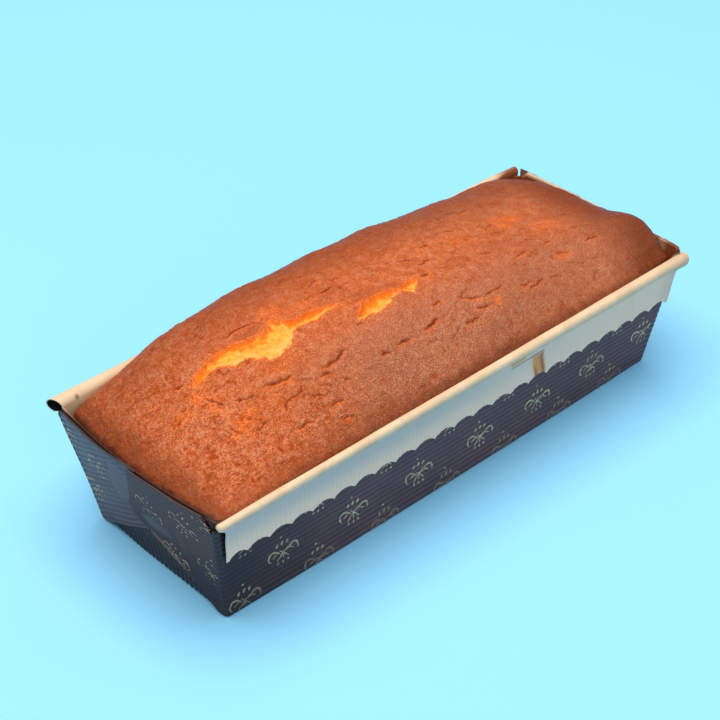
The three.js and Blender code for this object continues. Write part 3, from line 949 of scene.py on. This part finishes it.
# How brown the crust is baked, with painted shade along the front rim and at the far end, and how charred its
# edges are, with painted shade in the gap at the paper
def crust_browning(x, y, end_limit, side_limit):
    near_gap, far_gap = end_limit + x, end_limit - x
    front_gap, back_gap = side_limit + y, side_limit - y
    wander = layered(x, y, BROWN_NOISE)
    brown = most(patches(x, y, DUSK, DUSK_NOISE), ramp(x, *FAR_TAN))
    for gap, strength, reach in (
        (front_gap, FRONT_BROWN, blend(x, *FRONT_BROWN_REACH)),
        (back_gap, blend(x, *BACK_BROWN), BACK_BROWN_REACH),
        (near_gap, *NEAR_BROWN),
        (far_gap, *FAR_BROWN),
    ):
        brown = most(brown, strength * smooth(gap + wander, reach, FULLY_BROWN * reach))
    # Charred edges, painted near black as the shade in the gap where the crust meets the paper
    wander = layered(x, y, CHAR_NOISE)
    edges = ((near_gap, *NEAR_CHAR), (front_gap, *FRONT_CHAR), (far_gap, *FAR_CHAR))
    char = most(*(strength * smooth(gap + wander, reach, FULLY_CHARRED) for gap, strength, reach in edges))
    return brown, char


# Relief and colour masks of the crust over the plan
def crust_detail(x, y, end_limit, side_limit):
    warp_x = x + layered(x, y, WARP_X)
    warp_y = y + layered(x, y, WARP_Y)
    split = split_detail(x, y, warp_x, warp_y)
    groove, lips = crack_detail(warp_x, warp_y)
    brown, char = crust_browning(x, y, end_limit, side_limit)
    near, front, back = smooth(x, *NEAR_PART), smooth(y, *FRONT_PART), smooth(y, *BACK_PART)
    pored = np.clip(near + front * ramp(x, *PORED_FRONT) + PORED_BACK * back, 0, 1)
    start = lerp(*PORE_START, pored)
    pore = smooth(layered(warp_x, warp_y, PORE_NOISE), start, start + PORE_EDGE)
    ridge = (1 - np.abs(layered(x, y, WRINKLE_NOISE))) ** WRINKLE_POWER * lerp(*WRINKLED, near)
    mottle = blend(y, *MOTTLE_DEPTH) * (layered(x, y, LUMP_NOISE) - LUMP_LEVEL)
    on_crust = 1 - smooth(split["depth"], *SPLIT_FLOOR)
    crumb = CRUMB_DEPTH * layered(x, y, CRUMB_NOISE)
    skin = mottle - PORE_DEPTH * pore + WRINKLE_DEPTH * (ridge - 1)
    relief = lerp(crumb, skin, on_crust) - split["depth"] - CRACK_DEPTH * groove
    untorn = 1 - split["torn"]
    rough = ROUGH + ROUGH_NEAR * near + front * ramp(x, *ROUGH_FRONT) + ROUGH_BACK * back
    # How much grain and painted glint each part has
    grainy = GRAINY + GRAINY_NEAR * most(near, front * smooth(x, *GRAINY_FRONT)) + GRAINY_BACK * back
    masks = {
        "torn": split["torn"],
        "warm": split["warm"],
        "pale": split["pale"],
        # orange blushes, and painted highlights on the crack lips
        "blush": untorn * most(split["blush"], lips, patches(x, y, BLUSH, BLUSH_NOISE)),
        "pit": PIT_TINT * pore * on_crust * (1 - PIT_LOSS * brown),
        # charred edges with painted shade in the gap at the paper
        "char": char,
        # dark red-brown of the crack grooves, partly painted shade in them
        "crack": np.clip(CRACK_GAIN * groove - CRACK_START, 0, 1) * (1 - ramp(x, *CRACK_FAR_LOSS)),
        # browning, with painted shade along the front rim and at the far end
        "deep": brown,
        # painted sheen on the front slope, and a duller tone on the far part
        "dull": most(area(x, y, *DULL_FRONT), ramp(x, *DULL_FAR)),
        # painted highlight along the wrinkle ridges
        "ridge": RIDGE_TINT * ridge * untorn * (1 - pore) * (1 - brown),
        "rough": np.clip(rough, 0, 1) * untorn * (1 - ROUGH_LOSS * brown),
        "grainy": np.clip(grainy, 0, 1) * untorn * (1 - GRAINY_LOSS * brown),
    }
    return relief, masks


def build_cake(material):
    a, b = np.meshgrid(crowded(CAKE_COLUMNS, COLUMN_SPACING), crowded(CAKE_ROWS, ROW_SPACING))
    edge = crust_edge(cake_plan(a, b, CRUST_EDGE)[0])
    x, y, end_limit, side_limit = cake_plan(a, b, edge)
    share = cross_share(x, y, side_limit) * end_share(x, end_limit)
    relief, masks = crust_detail(x, y, end_limit, side_limit)
    z = edge + crest_rise(x) * share + (crust_forms(x, y) + relief) * np.minimum(share * RELIEF_FADE, 1)
    rows, columns = z.shape
    rim = grid_border(rows, columns)
    z.ravel()[rim] = edge.ravel()[rim]
    points = [np.stack([x, y, z], -1).reshape(-1, 3)]
    faces = grid_faces(rows, columns).tolist()
    bottom = PAPER + CLEARANCE
    upper, count = rim, rows * columns
    for level, inset in ((bottom + BASE_ROUND, 0), (bottom, BASE_ROUND)):
        ring_x, ring_y, end_limit, side_limit = cake_plan(a.ravel()[rim], b.ravel()[rim], level)
        ring_x, ring_y = ring_x * (1 - inset / end_limit), ring_y * (1 - inset / side_limit)
        points.append(np.stack([ring_x, ring_y, np.full(len(rim), level)], -1))
        lower = np.arange(count, count + len(rim))
        faces += np.stack([upper, lower, np.roll(lower, -1), np.roll(upper, -1)], -1).tolist()
        upper, count = lower, count + len(rim)
    points.append([[0, 0, bottom]])
    faces += np.stack([np.full(len(rim), count), np.roll(upper, -1), upper], -1).tolist()
    points = np.concatenate(points)
    below = np.zeros(len(points) - rows * columns)
    masks = {name: np.concatenate([values.ravel(), below]) for name, values in masks.items()}
    piece("sponge_cake", points, faces, material, "sponge_crust", "cake", **masks)


# Edge of a tab as distance from the middle towards its side: the front tab overlaps the back one
def seam_of(side, end, z):
    across = np.interp(z, *zip(*SEAMS[end]))
    return across if side < 0 else -across - SEAM_OVERLAP


# Top of the triangle that the tabs leave open at an end
def window_top(across):
    return WINDOW_HEIGHT * np.clip(1 - across / (WINDOW_WIDTH / 2), 0, 1)


# How far a tab's face lies behind the solid's end face
def tab_sink(side, across):
    return ramp(across, *TAB_SINK) if side > 0 else 0 * across


# How flat the ribs of the near end are pressed
def crushed(side, across, z):
    return smooth(oval(across, z, *CRUSHED[side]) + layered(across, z, CRUSHED_NOISE), *CRUSHED_EDGE)


# How far a tab's slanting ribs climb from the corner
def rib_climb(width, across):
    return TAB_RIB_SLOPE * (width - CORNER_RADIUS - across)


def rib_drop(place, flat):
    return RIB_DEPTH * lerp(hollow(place, RIB_PITCH), PRESSED_RIB, flat)


# How far out an end face lies at a height and a distance from its middle
def end_x(z, across):
    return half_length(z) + end_bow(z) * (1 - (across / half_width(z)) ** 2)


# Height of the far end's top edge, which sags between the corners
def far_top(y):
    return FAR_TOP + FAR_TOP_SAG * (y / half_width(TAB_REACH)) ** 2 + ramp(y, *FAR_TOP_FRONT)


# The back wall leans further out at its near corner
def back_flare(x, z):
    return area(x, z, *BACK_FLARE)


# Points moved by the bulges low on the front wall and the near end, and by the back wall's flare
def bulged(points):
    x, y, z = np.moveaxis(points, -1, 0)
    low = np.clip(1 - z / BULGE_TOP, 0, 1) ** 2
    front = np.interp(x, *zip(*FRONT_BULGE)) * smooth(y, *FRONT_BULGE_Y)
    near = ramp(x, *NEAR_BULGE) * blend(y, *NEAR_BULGE_SHARE)
    back = back_flare(x, z) * smooth(y, *BACK_FLARE_Y)
    return np.stack([np.clip(x - near * low, -MOST_LENGTH, MOST_LENGTH), y - front * low + back, z], -1)


# Columns of a long wall: share across a tab, place along the wall, way outwards, and 1 where on a tab
def wall_columns():
    tab = np.linspace(0, 1, TAB_COLUMNS)
    turn = np.linspace(0, np.pi / 2, TURN_COLUMNS + 2)[1:-1]
    turn_back = turn[::-1]
    run = np.linspace(-1, 1, WALL_COLUMNS)
    parts = [
        (tab, -1, -1, 0, 1),
        (1, -1, -np.cos(turn), np.sin(turn), 0),
        (1, run, 0, 1, 0),
        (1, 1, np.cos(turn_back), np.sin(turn_back), 0),
        (tab[::-1], 1, 1, 0, 1),
    ]
    return np.concatenate([np.stack(np.broadcast_arrays(*part)) for part in parts], axis=1)


# Height of a tab's top edge, which gapes at the near front corner and is notched at the near back one
def tab_top(side, end, across):
    from_notch = across - (half_width(END_WALL_TOP) - PAPER - NOTCH_FROM_CORNER)
    if side < 0:
        near = TAB_REACH - GAPE_SLOPE * np.clip(from_notch + GAPE_REACH, 0, None)
    else:
        near = END_WALL_TOP - NOTCH_DEPTH + (NOTCH_DEPTH + PAPER) / (NOTCH_WIDTH / 2) * np.abs(from_notch)
    top = np.where(end < 0, np.minimum(near, TAB_REACH), far_top(side * across) - FAR_TAB_GAP)
    return top + layered(across, ENDS_APART * end, TAB_EDGE_NOISE[side])


def wall_top(side, end):
    corner = np.where(end < 0, CORNER_TOPS[side, -1], CORNER_TOPS[side, 1])
    return lerp(corner, WALL_REACH, smooth(RIM_LENGTH / 2 * (1 - np.abs(end)), *CORNER_TOP_REACH))


# How bare the board of a wall is: on the near front tab, and along the cut edges of the far half
def bare_board(front_tab, near, across, z, from_foot, from_top):
    ragged = from_foot + layered(across, z, TORN_FOOT_NOISE)
    torn = area(across, across, *TORN_FOOT) * smooth(ragged, *TORN_FOOT_RISE)
    worn = most(torn, spot(across, z, *SCUFF), ramp(z, *UPPER_TAB_BARE))
    return most(front_tab * worn, ~near * ramp(np.minimum(from_foot, from_top), *CUT_EDGE_BARE))


# Painted shade on the front wall besides its ribs, most on its near tab and near part
def front_shade(near, on_tab, flat, x, z):
    tab = blend(z, *NEAR_TAB_SHADE) * (1 - CRUSHED_SHADE_LOSS * flat) * near
    return np.where(on_tab, tab, ramp(x, *FRONT_SHADE))


# A long wall with the tabs that fold round both ends
def build_wall(name, side, material):
    share, end, out_x, out_y, on_tab = wall_columns()
    on_tab = on_tab > 0
    near = end < 0

    def tab_across(z):
        seam = np.where(near, seam_of(side, -1, z), seam_of(side, 1, z))
        return lerp(seam, half_width(z) - CORNER_RADIUS, share)

    low = np.where(on_tab, window_top(share * (half_width(0) - CORNER_RADIUS)), 0)
    top_across = tab_across(np.full(len(share), TAB_REACH))
    high = np.where(on_tab, tab_top(side, end, top_across), wall_top(side, end))
    z = lerp(low, high, np.linspace(0, 1, WALL_ROWS)[:, None])
    fold = BASE_ROUND * np.clip(1 - z / BASE_ROUND, 0, 1)
    width = half_width(z) - fold
    across = np.where(on_tab, tab_across(z), width - CORNER_RADIUS + out_y * CORNER_RADIUS)
    x = end * (half_length(z) - fold - CORNER_RADIUS) + out_x * CORNER_RADIUS
    x = x + np.sign(x) * end_bow(z) * (1 - (across / width) ** 2)
    face = np.stack([x, side * across, z], -1)
    normal = outward(face)
    sink = on_tab * tab_sink(side, across)
    flat = (on_tab & near) * crushed(side, across, z)
    turning = ~on_tab & (out_x != 0)
    ribs = rib_drop(z - on_tab * rib_climb(width, across), flat) * np.where(turning, CORNER_RIBS, 1)
    outer = face - normal * (sink + ribs)[..., None]
    inner = face - normal * (sink + SHEET)[..., None]
    points, faces = closed_sheet(outer, inner)
    from_foot = np.where(on_tab, z - low, np.inf)
    bare = bare_board(on_tab & near & (side < 0), near, across, z, from_foot, high - z)
    shade = RIB_SHADE * (1 - flat) * ribs / RIB_DEPTH
    if side < 0:
        shade = 1 - (1 - shade) * (1 - front_shade(near, on_tab, flat, x, z))
    shade = most(shade, near * ramp(high - z, *NEAR_EDGE_SHADE))
    inside_bare = np.broadcast_to(np.where(near, *INSIDE_BARE), z.shape)
    inside_shade = np.broadcast_to(INSIDE_SHADE * near, z.shape)
    piece(name, bulged(points), faces, material, "printed_paper", "paper_case",
          bare=np.concatenate([bare, inside_bare]), valley=np.concatenate([shade, inside_shade]))


# Base of the case with the end panel that folds up behind the tabs at each end
def build_base(material):
    share = np.linspace(-1, 1, BASE_COLUMNS)

    def across_at(z):
        return share * (half_width(z) - SHEET - PANEL_GAP)

    def panel_row(end, z):
        return np.stack([end * (end_x(z, across_at(z)) - PAPER), across_at(z), 0 * share + z], -1)

    heights = np.linspace(PANEL_REACH, BASE_ROUND, PANEL_ROWS)
    reach = half_length(0) - PAPER - BASE_ROUND
    rows = [panel_row(-1, z) for z in heights]
    for x in np.linspace(-reach, reach, BASE_ROWS):
        rows.append(np.stack([0 * share + x, across_at(0), 0 * share], -1))
    face = np.array(rows + [panel_row(1, z) for z in heights[::-1]])
    normal = outward(face)
    dent = hollow(share * half_width(0), RIB_PITCH)
    outer = face - normal * (PANEL_RIB_DEPTH * dent)[:, None]
    points, faces = closed_sheet(outer, face - normal * BASE_SHEET)
    shade = np.tile(1 - (1 - RIB_SHADE * dent) * (1 - PANEL_SHADE), 2 * len(face))
    piece("case_base", bulged(points), faces, material, "printed_paper", "paper_case", valley=shade)


# Points round the inside of the case in plan: corner and face shares with the way outwards
def liner_round():
    corners = [(1, 1), (-1, 1), (-1, -1), (1, -1)]
    columns = []
    for number, (sx, sy) in enumerate(corners):
        nx, ny = corners[(number + 1) % 4]
        for angle in np.linspace(0, np.pi / 2, LINER_TURN):
            way = angle + number * np.pi / 2
            columns.append((sx, sy, np.cos(way), np.sin(way)))
        way = (number + 1) * np.pi / 2
        steps = LINER_SHORT_STEPS if number % 2 else LINER_LONG_STEPS
        for w in np.linspace(0, 1, steps + 1)[1:-1]:
            columns.append((lerp(sx, nx, w), lerp(sy, ny, w), np.cos(way), np.sin(way)))
    return np.array(columns + columns[:1])


# Toasted paper of the liner: both ends, with a painted highlight along a fold and a painted lit edge at the
# far one
def liner_toast(x, y, z):
    stripe = bell(y - STRIPE_Y, *PALE_STRIPE)
    lit = area(y, y, *LIT_EDGE) * smooth(z - far_top(y), *LIT_EDGE_FROM_TOP)
    at_end = np.where(x > 0, 1 - most(stripe, lit), blend(y, *NEAR_TOAST))
    return np.where(np.abs(x) > LINER_END, at_end, LINER_SIDE_TOAST)


# Cream inside face of the case, all round above the base
def build_liner(material):
    share_x, share_y, out_x, out_y = liner_round().T
    at_end = smooth(np.abs(share_x), *LINER_END_SHARE)
    far = share_x > 0
    across = share_y * half_width(TAB_REACH)
    far_end_top = far_top(across) + LINER_ABOVE_TAB - ramp(across, *FAR_CORNER_CUT)
    end_top = np.where(far, far_end_top, LINER_NEAR_TOP)
    climb = 1 - np.linspace(1, 0, LINER_ROWS)[:, None] ** LINER_TOP_CROWDING
    level = lerp(PAPER, lerp(LINER_SIDE_TOP, end_top, at_end), climb)
    lip = far * at_end * ramp(level, *LINER_LIP)
    grids = []
    for depth in (LINER_SHEET + lip, 0):
        sheet = np.minimum(depth, LINER_SHEET)
        radius = LINER_RADIUS + sheet
        width = half_width(level) - PAPER + sheet
        x = share_x * (half_length(level) - 2 * PAPER + depth - radius) + out_x * radius
        y = share_y * (width - radius) + out_y * radius
        bow = end_bow(level) * (1 - np.clip(np.abs(y) / width, 0, 1) ** 2)
        x = x + np.sign(x) * bow * smooth(np.abs(share_x), *LINER_BOW_SHARE)
        grids.append(np.stack([x, y, level], -1))
    points, faces = closed_sheet(*grids)
    x, y, z = points.T
    # Painted shade in the gap along the near end's top edge
    piece("case_liner", bulged(points), faces, material, "cream_paper", "paper_case",
          toast=liner_toast(x, y, z), burnt=(x < -LINER_END) * area(y, z, *NEAR_BURN))


# Height of a rim's top: the front one climbs a little towards the far end
def rim_top(side, x):
    return RIM_TOP + (FRONT_RIM_SHIFT + FRONT_RIM_CLIMB * x if side < 0 else BACK_RIM_LIFT)


def rim_radius(side, x):
    half = RIM_LENGTH / 2
    if side < 0:
        return ramp(x, *FRONT_RIM_FAR_FLARE) + blend(x, *FRONT_RIM_RADIUS, -half, half)
    flare = BACK_RIM_NEAR_FLARE * np.exp(-(x + half) / BACK_RIM_FLARE_REACH)
    return BACK_RIM_RADIUS + flare - BACK_RIM_FAR_PINCH * smooth(x, half - BACK_RIM_FLARE_REACH, half)


def scallop_edge(x):
    half = SCALLOP_PITCH / 2
    radius = (half ** 2 + SCALLOP_RISE ** 2) / (2 * SCALLOP_RISE)
    first = -(SCALLOP_COUNT - 1) / 2 * SCALLOP_PITCH
    number = np.clip(np.round((x - first) / SCALLOP_PITCH), 0, SCALLOP_COUNT - 1)
    across = np.clip(np.abs(x - first - number * SCALLOP_PITCH), 0, half)
    return FLAP_EDGE + np.sqrt(radius ** 2 - across ** 2) - radius + SCALLOP_RISE


# Rows of a rim's face from its foot in the case over the roll to the flap's edge: distance out and height
def rim_rows(side, x, depth):
    full = rim_radius(side, x)
    sag = RIM_SAG + layered(x, SAG_APART * side, SAG_NOISE)
    past_tip = np.clip(1 - (x + RIM_LENGTH / 2) / RIM_TIP, 0, 1)
    tip = np.sqrt(1 - past_tip ** 2) if side < 0 else 1
    radius = np.maximum((full - sag) * tip - depth, LEAST_ROLL * (1 - depth))
    middle_out, middle_z = np.minimum(full - RIM_SEAT, MOST_ROLL_OUT), rim_top(side, x) - full
    flap_out = FLAP_GAP + RIM_PAPER - depth - FLAP_SWAY + layered(x, SWAY_APART * side, SWAY_NOISE)
    rows = [(middle_out - radius, np.full(len(x), RIM_FACE_FOOT))]
    for angle in np.radians(np.linspace(180, ROLL_END_DEGREES, ROLL_STEPS)):
        rows.append((middle_out + radius * np.cos(angle), middle_z + radius * np.sin(angle)))
    start_out, start_z = rows[-1]
    bend_z = start_z - THROAT_PULL
    stop_z = middle_z - full - ROLL_THROAT
    for t in np.linspace(0, 1, THROAT_STEPS + 1)[1:]:
        out = lerp(lerp(start_out, flap_out, t), flap_out, t)
        rows.append((out, lerp(lerp(start_z, bend_z, t), lerp(bend_z, stop_z, t), t)))
    edge = scallop_edge(x * half_length(FLAP_EDGE) / half_length(RIM_TOP))
    line = FLAP_LINE_DEPTH * hollow(x, FLAP_LINE_PITCH)
    for t in np.linspace(0, 1, FLAP_STEPS + 1)[1:]:
        rows.append((flap_out - line * min(FLAP_LINE_GROWTH * t, 1), lerp(stop_z, edge, t)))
    return np.moveaxis(np.array(rows), 1, 0)


# One face of a rolled rim and its flap, at a depth in the paper
def rim_face(side, columns, depth):
    x = crowded(columns - 1, RIM_SPACING) * RIM_LENGTH / 2
    out, z = rim_rows(side, x, depth)
    shrink = half_length(z) / half_length(RIM_TOP)
    along = x * shrink
    on_flap = np.clip((np.arange(len(z)) - ROLL_STEPS) / THROAT_STEPS, 0, 1)[:, None]
    on_flap[0] = 1
    up = smooth(z, FLAP_EDGE, RIM_FACE_FOOT)
    for end, limit in ((-1, lerp(*NEAR_FLAP_END, up)), (1, half_length(z) - lerp(*FAR_FLAP_GAP, up))):
        past = np.clip(end * along - FLAP_CUT_FROM, 0, None)
        reach = shrink * RIM_LENGTH / 2 - FLAP_CUT_FROM
        along = along - end * on_flap * past * (1 - (limit - FLAP_CUT_FROM) / reach)
    if side > 0:
        full = rim_radius(side, x)
        inner_side = np.clip((full - RIM_SEAT - out) / (2 * full) + 0.5, 0, 1)
        slant = (BACK_RIM_SLANT * inner_side - BACK_RIM_REACH) * smooth(x + RIM_LENGTH / 2, *BACK_RIM_SLANTED)
        along = along + slant * (1 - on_flap)
        out = out + back_flare(along, z) * on_flap
    return np.stack([along, side * (half_width(z) + out), z], -1)


# Stain of the front flap and its dark edges
def flap_stain(x, z, out):
    stained = out > STAINED_OUT
    middle = blend(z, *DRIP_X)
    below = smooth(z, *DRIP_TOP)
    drip = ramp(np.abs(x - middle) + layered(x, z, DRIP_NOISE), *DRIP) * below
    patch = area(np.abs(x - PATCH_X), np.abs(z - PATCH_Z), *PATCH)
    edge = area(np.abs(x - LINE_X), np.abs(z - LINE_Z - LINE_CLIMB * x), *LINE)
    for part in (DRIP_RIGHT_EDGE, DRIP_LEFT_EDGE):
        dark = bell(x - middle - part["aside"], part["reach"], DRIP_EDGE_STRENGTH)
        edge = most(edge, dark * below * smooth(z, *part["z"]))
    return stained * most(drip, patch), stained * edge


# Toasted paper of a rim: inside, most at its ends, and in the hollow under its roll
def rim_toast(side, x, z, out, on_inside):
    far = ramp(x + FAR_INSIDE_SLANT * (FAR_INSIDE_Z - z), *FAR_INSIDE_TOAST)
    toast = on_inside * (far + area(x, z, *NEAR_INSIDE_TOAST)) + ramp(x, *FAR_TIP_TOAST)
    if side < 0:
        toast = FRONT_RIM_TOAST * toast
    under = bell(z - rim_top(side, x) + HOLLOW_RADII_DOWN * rim_radius(side, x), *HOLLOW_TOAST)
    under = under * smooth(out, *HOLLOW_OUT) * smooth(layered(x, z, HOLLOW_NOISE), *HOLLOW_PATCHES)
    return np.clip(toast + on_inside * ramp(z, *INSIDE_FOOT_TOAST) + under, 0, 1)


# A rolled rim with its flap, cream outside, and its brown lining
def build_rim(name, side, cream, brown):
    points, faces = closed_sheet(rim_face(side, RIM_COLUMNS, 0), rim_face(side, RIM_COLUMNS, CREAM_LAYER))
    x, y, z = points.T
    out = np.abs(y) - half_width(z)
    on_inside = smooth(out, *RIM_INSIDE)
    flap = area(out, z, *FLAP_FACE)
    line = hollow(x * half_length(RIM_TOP) / half_length(z), FLAP_LINE_PITCH) ** 2
    masks = {
        "toast": rim_toast(side, x, z, out, on_inside),
        "ashen": flap,
        # painted cool shade on the upper flap under the roll
        "cool": flap * area(x, z, *FLAP_COOL),
        # painted shade in the hollows of the flap's lines
        "crease": blend(x, *FLAP_LINE_SHADE) * flap * line,
    }
    if side < 0:
        masks["stain"], masks["stain_edge"] = flap_stain(x, z, out)
    else:
        # Painted shade in the open near end of the roll
        masks["burnt"] = spot(x, z, *RIM_SPOT) * on_inside
    piece(name, points, faces, cream, "cream_paper", "paper_case", **masks)
    points, faces = closed_sheet(*(rim_face(side, LINING_COLUMNS, depth) for depth in LINING_DEPTHS))
    shade = smooth(points[:, 0], *LINING_SHADE)
    piece(name + "_lining", points, faces, brown, "printed_paper", "paper_case", valley=shade)


# Evenly spaced points on a smooth curve through the given ones
def smooth_run(points):
    p = np.array(points, float)
    if len(p) == 2:
        count = max(int(np.hypot(*(p[1] - p[0])) / PRINT_STEP), 3)
        return lerp(p[0], p[1], np.linspace(0, 1, count + 1)[:, None])
    ends = np.concatenate([[2 * p[0] - p[1]], p, [2 * p[-1] - p[-2]]])
    made = [p[:1]]
    for p0, p1, p2, p3 in zip(ends, ends[1:], ends[2:], ends[3:]):
        count = max(int(np.hypot(*(p2 - p1)) / PRINT_STEP), 2)
        t = np.linspace(0, 1, count + 1)[1:, None]
        made.append(0.5 * (2 * p1 + (p2 - p0) * t + (2 * p0 - 5 * p1 + 4 * p2 - p3) * t ** 2
                           + (3 * p1 - p0 - 3 * p2 + p3) * t ** 3))
    return np.concatenate(made)


# Thin closed strip along a line, laid on a face
def lay_strip(store, line, aside, face):
    ring = [
        face(line + aside, PRINT_PROUD), face(line - aside, PRINT_PROUD),
        face(line - aside, -PRINT_DEEP), face(line + aside, -PRINT_DEEP),
    ]
    here = store["count"] + np.arange(4 * len(line)).reshape(-1, 4)
    beside = np.roll(here, -1, axis=1)
    sides = np.stack([here[:-1], beside[:-1], beside[1:], here[1:]], -1)
    store["points"].append(np.stack(ring, 1).reshape(-1, 3))
    store["faces"] += sides.reshape(-1, 4).tolist() + [here[0].tolist(), here[-1, ::-1].tolist()]
    store["count"] += here.size


# Strips along the strokes of one ornament, where the ink has taken
def lay_ornament(store, middle, turn, weight, face, taken):
    c, s = math.cos(turn), math.sin(turn)
    for points, half in ORNAMENT:
        line = ORNAMENT_SCALE * smooth_run(points) @ np.array([[c, s], [-s, c]]) + middle
        along = np.gradient(line, axis=0)
        along /= np.linalg.norm(along, axis=1, keepdims=True) + 1e-9
        share = np.linspace(-1, 1, len(line))
        width = weight * half * np.sqrt(np.clip(1 + STROKE_END - share ** 2, STROKE_END, 1))
        aside = np.stack([-along[:, 1], along[:, 0]], -1) * width[:, None]
        changes = np.flatnonzero(np.diff(np.concatenate([[0], taken(line).astype(int), [0]])))
        for first, last in zip(changes[::2], changes[1::2]):
            if last - first > 1:
                lay_strip(store, line[first:last], aside[first:last], face)


def lay_wall_print(store, side):
    def face(place, lift):
        x, z = place.T
        return np.stack([x, side * (half_width(z) - PRINT_FOLLOW * rib_drop(z, 0) + lift), z], -1)

    def taken(place):
        x, z = place.T
        return (z > WALL_PRINT_FOOT) & (z < WALL_PRINT_TOP) & (np.abs(x) < WALL_PRINT_REACH)

    for shift, level, lowest, rise in PRINT_ROWS:
        for number in range(-ROW_REACH, ROW_REACH + 1):
            x = shift + number * ROW_PITCH - number ** 2 * ROW_SHRINK
            lay_ornament(store, (x, level + rise * (x - lowest) ** 2), 0, WALL_PRINT_WEIGHT, face, taken)


def lay_tab_print(store, side, end):
    def face(place, lift):
        across, z = place.T
        flat = crushed(side, across, z) if end < 0 else 0
        ribs = rib_drop(z - rib_climb(half_width(z), across), flat)
        drop = tab_sink(side, across) + PRINT_FOLLOW * ribs
        return np.stack([end * (end_x(z, across) - drop + lift), side * across, z], -1)

    def taken(place):
        across, z = place.T
        seam = seam_of(side, end, z) + (SEAM_OVERLAP if side > 0 else 0)
        on_crest = hollow(z - rib_climb(half_width(z), across), RIB_PITCH) < TAB_PRINT_INKED
        in_height = (z > window_top(across) + TAB_PRINT_ABOVE_FOOT) & (z < TAB_REACH - TAB_PRINT_BELOW_TOP)
        in_width = (across > seam + TAB_PRINT_FROM_SEAM) & (across < half_width(z) - CORNER_RADIUS)
        return on_crest & in_height & in_width

    for middle in TAB_ORNAMENTS[side]:
        lay_ornament(store, middle, TAB_PRINT_TURN, TAB_PRINT_WEIGHT, face, taken)


def build_print(material):
    store = {"points": [], "faces": [], "count": 0}
    for side in (-1, 1):
        lay_wall_print(store, side)
        for end in (-1, 1):
            lay_tab_print(store, side, end)
    points = np.concatenate(store["points"])
    x, y, z = points.T
    # Print darkened by painted shade on the front's near part and in the rib hollows, and by wear at the foot
    on_wall = most(ramp(x, *NEAR_WEAR) * (y < 0), ramp(z, *FOOT_WEAR), HOLLOW_WEAR * hollow(z, RIB_PITCH))
    on_tab = np.abs(x) > end_x(z, np.abs(y)) - TAB_DEPTH
    worn = np.where(on_tab, np.where(y < 0, *TAB_WEAR), on_wall)
    piece("gold_print", bulged(points), store["faces"], material, "printed_paper", "paper_case", worn=worn)


def build_stage():
    mesh = bpy.data.meshes.new("floor")
    corners = [(-1, -1), (1, -1), (1, 1), (-1, 1)]
    mesh.from_pydata([(x * FLOOR_REACH, y * FLOOR_REACH, 0) for x, y in corners], [], [(0, 1, 2, 3)])
    material = bpy.data.materials.new("floor")
    Nodes(material).surface(srgb(*FLOOR_TONE), 0.8, 0.2)
    mesh.materials.append(material)
    floor = show("floor", mesh)


# Matrix that turns an object's own axes to the given ones and moves it to a place
def placed(axes, at):
    return Matrix([[*row, p] for row, p in zip(np.stack(axes, 1).tolist(), at)] + [[0, 0, 0, 1]])


def area_light(name, at, size, power, colour):
    data = bpy.data.lights.new(name, "AREA")
    data.shape = "SQUARE"
    data.size = size
    data.energy = power
    data.color = colour
    back = np.array(at) - LIGHT_TARGET
    back /= np.linalg.norm(back)
    side = np.cross(LIGHT_UP, back)
    side /= np.linalg.norm(side)
    show(name, data).matrix_world = placed([side, np.cross(back, side), back], at)


def build_lights():
    for name, settings in LIGHTS.items():
        area_light(name, **settings)
    scene.world = bpy.data.worlds.new("studio")
    nodes = Nodes(scene.world)
    height = nodes.add("ShaderNodeSeparateXYZ", {0: nodes.place["Generated"]}).outputs["Z"]
    background = nodes.tree.nodes["Background"]
    nodes.feed(background, "Color", nodes.mix(nodes.spread(height, *SKY_SPAN), SKY_LOW, SKY_HIGH))
    nodes.feed(background, "Strength", 1)


def build_camera():
    data = bpy.data.cameras.new("camera")
    data.lens = CAMERA_LENS
    data.sensor_width = SENSOR_WIDTH
    azimuth, elevation, roll = (math.radians(CAMERA_TURN[k]) for k in ("azimuth", "elevation", "roll"))
    level = np.array([math.cos(azimuth), math.sin(azimuth), 0])
    forward = np.array([-math.sin(azimuth), math.cos(azimuth), 0])
    back = np.array([0, 0, math.sin(elevation)]) - forward * math.cos(elevation)
    above = np.cross(back, level)
    right = level * math.cos(roll) + above * math.sin(roll)
    up = above * math.cos(roll) - level * math.sin(roll)
    scene.camera = show("camera", data)
    scene.camera.matrix_world = placed([right, up, back], [p * MM for p in CAMERA_AT])


build_camera()
build_stage()
build_lights()
scene.view_settings.view_transform = "Standard"

crust = crust_material()
printed = printed_material()
cream = cream_material()
gold = gold_material()
build_cake(crust)
build_wall("case_front_wall", -1, printed)
build_wall("case_back_wall", 1, printed)
build_base(printed)
build_liner(cream)
build_rim("front_rim", -1, cream, printed)
build_rim("back_rim", 1, cream, printed)
build_print(gold)
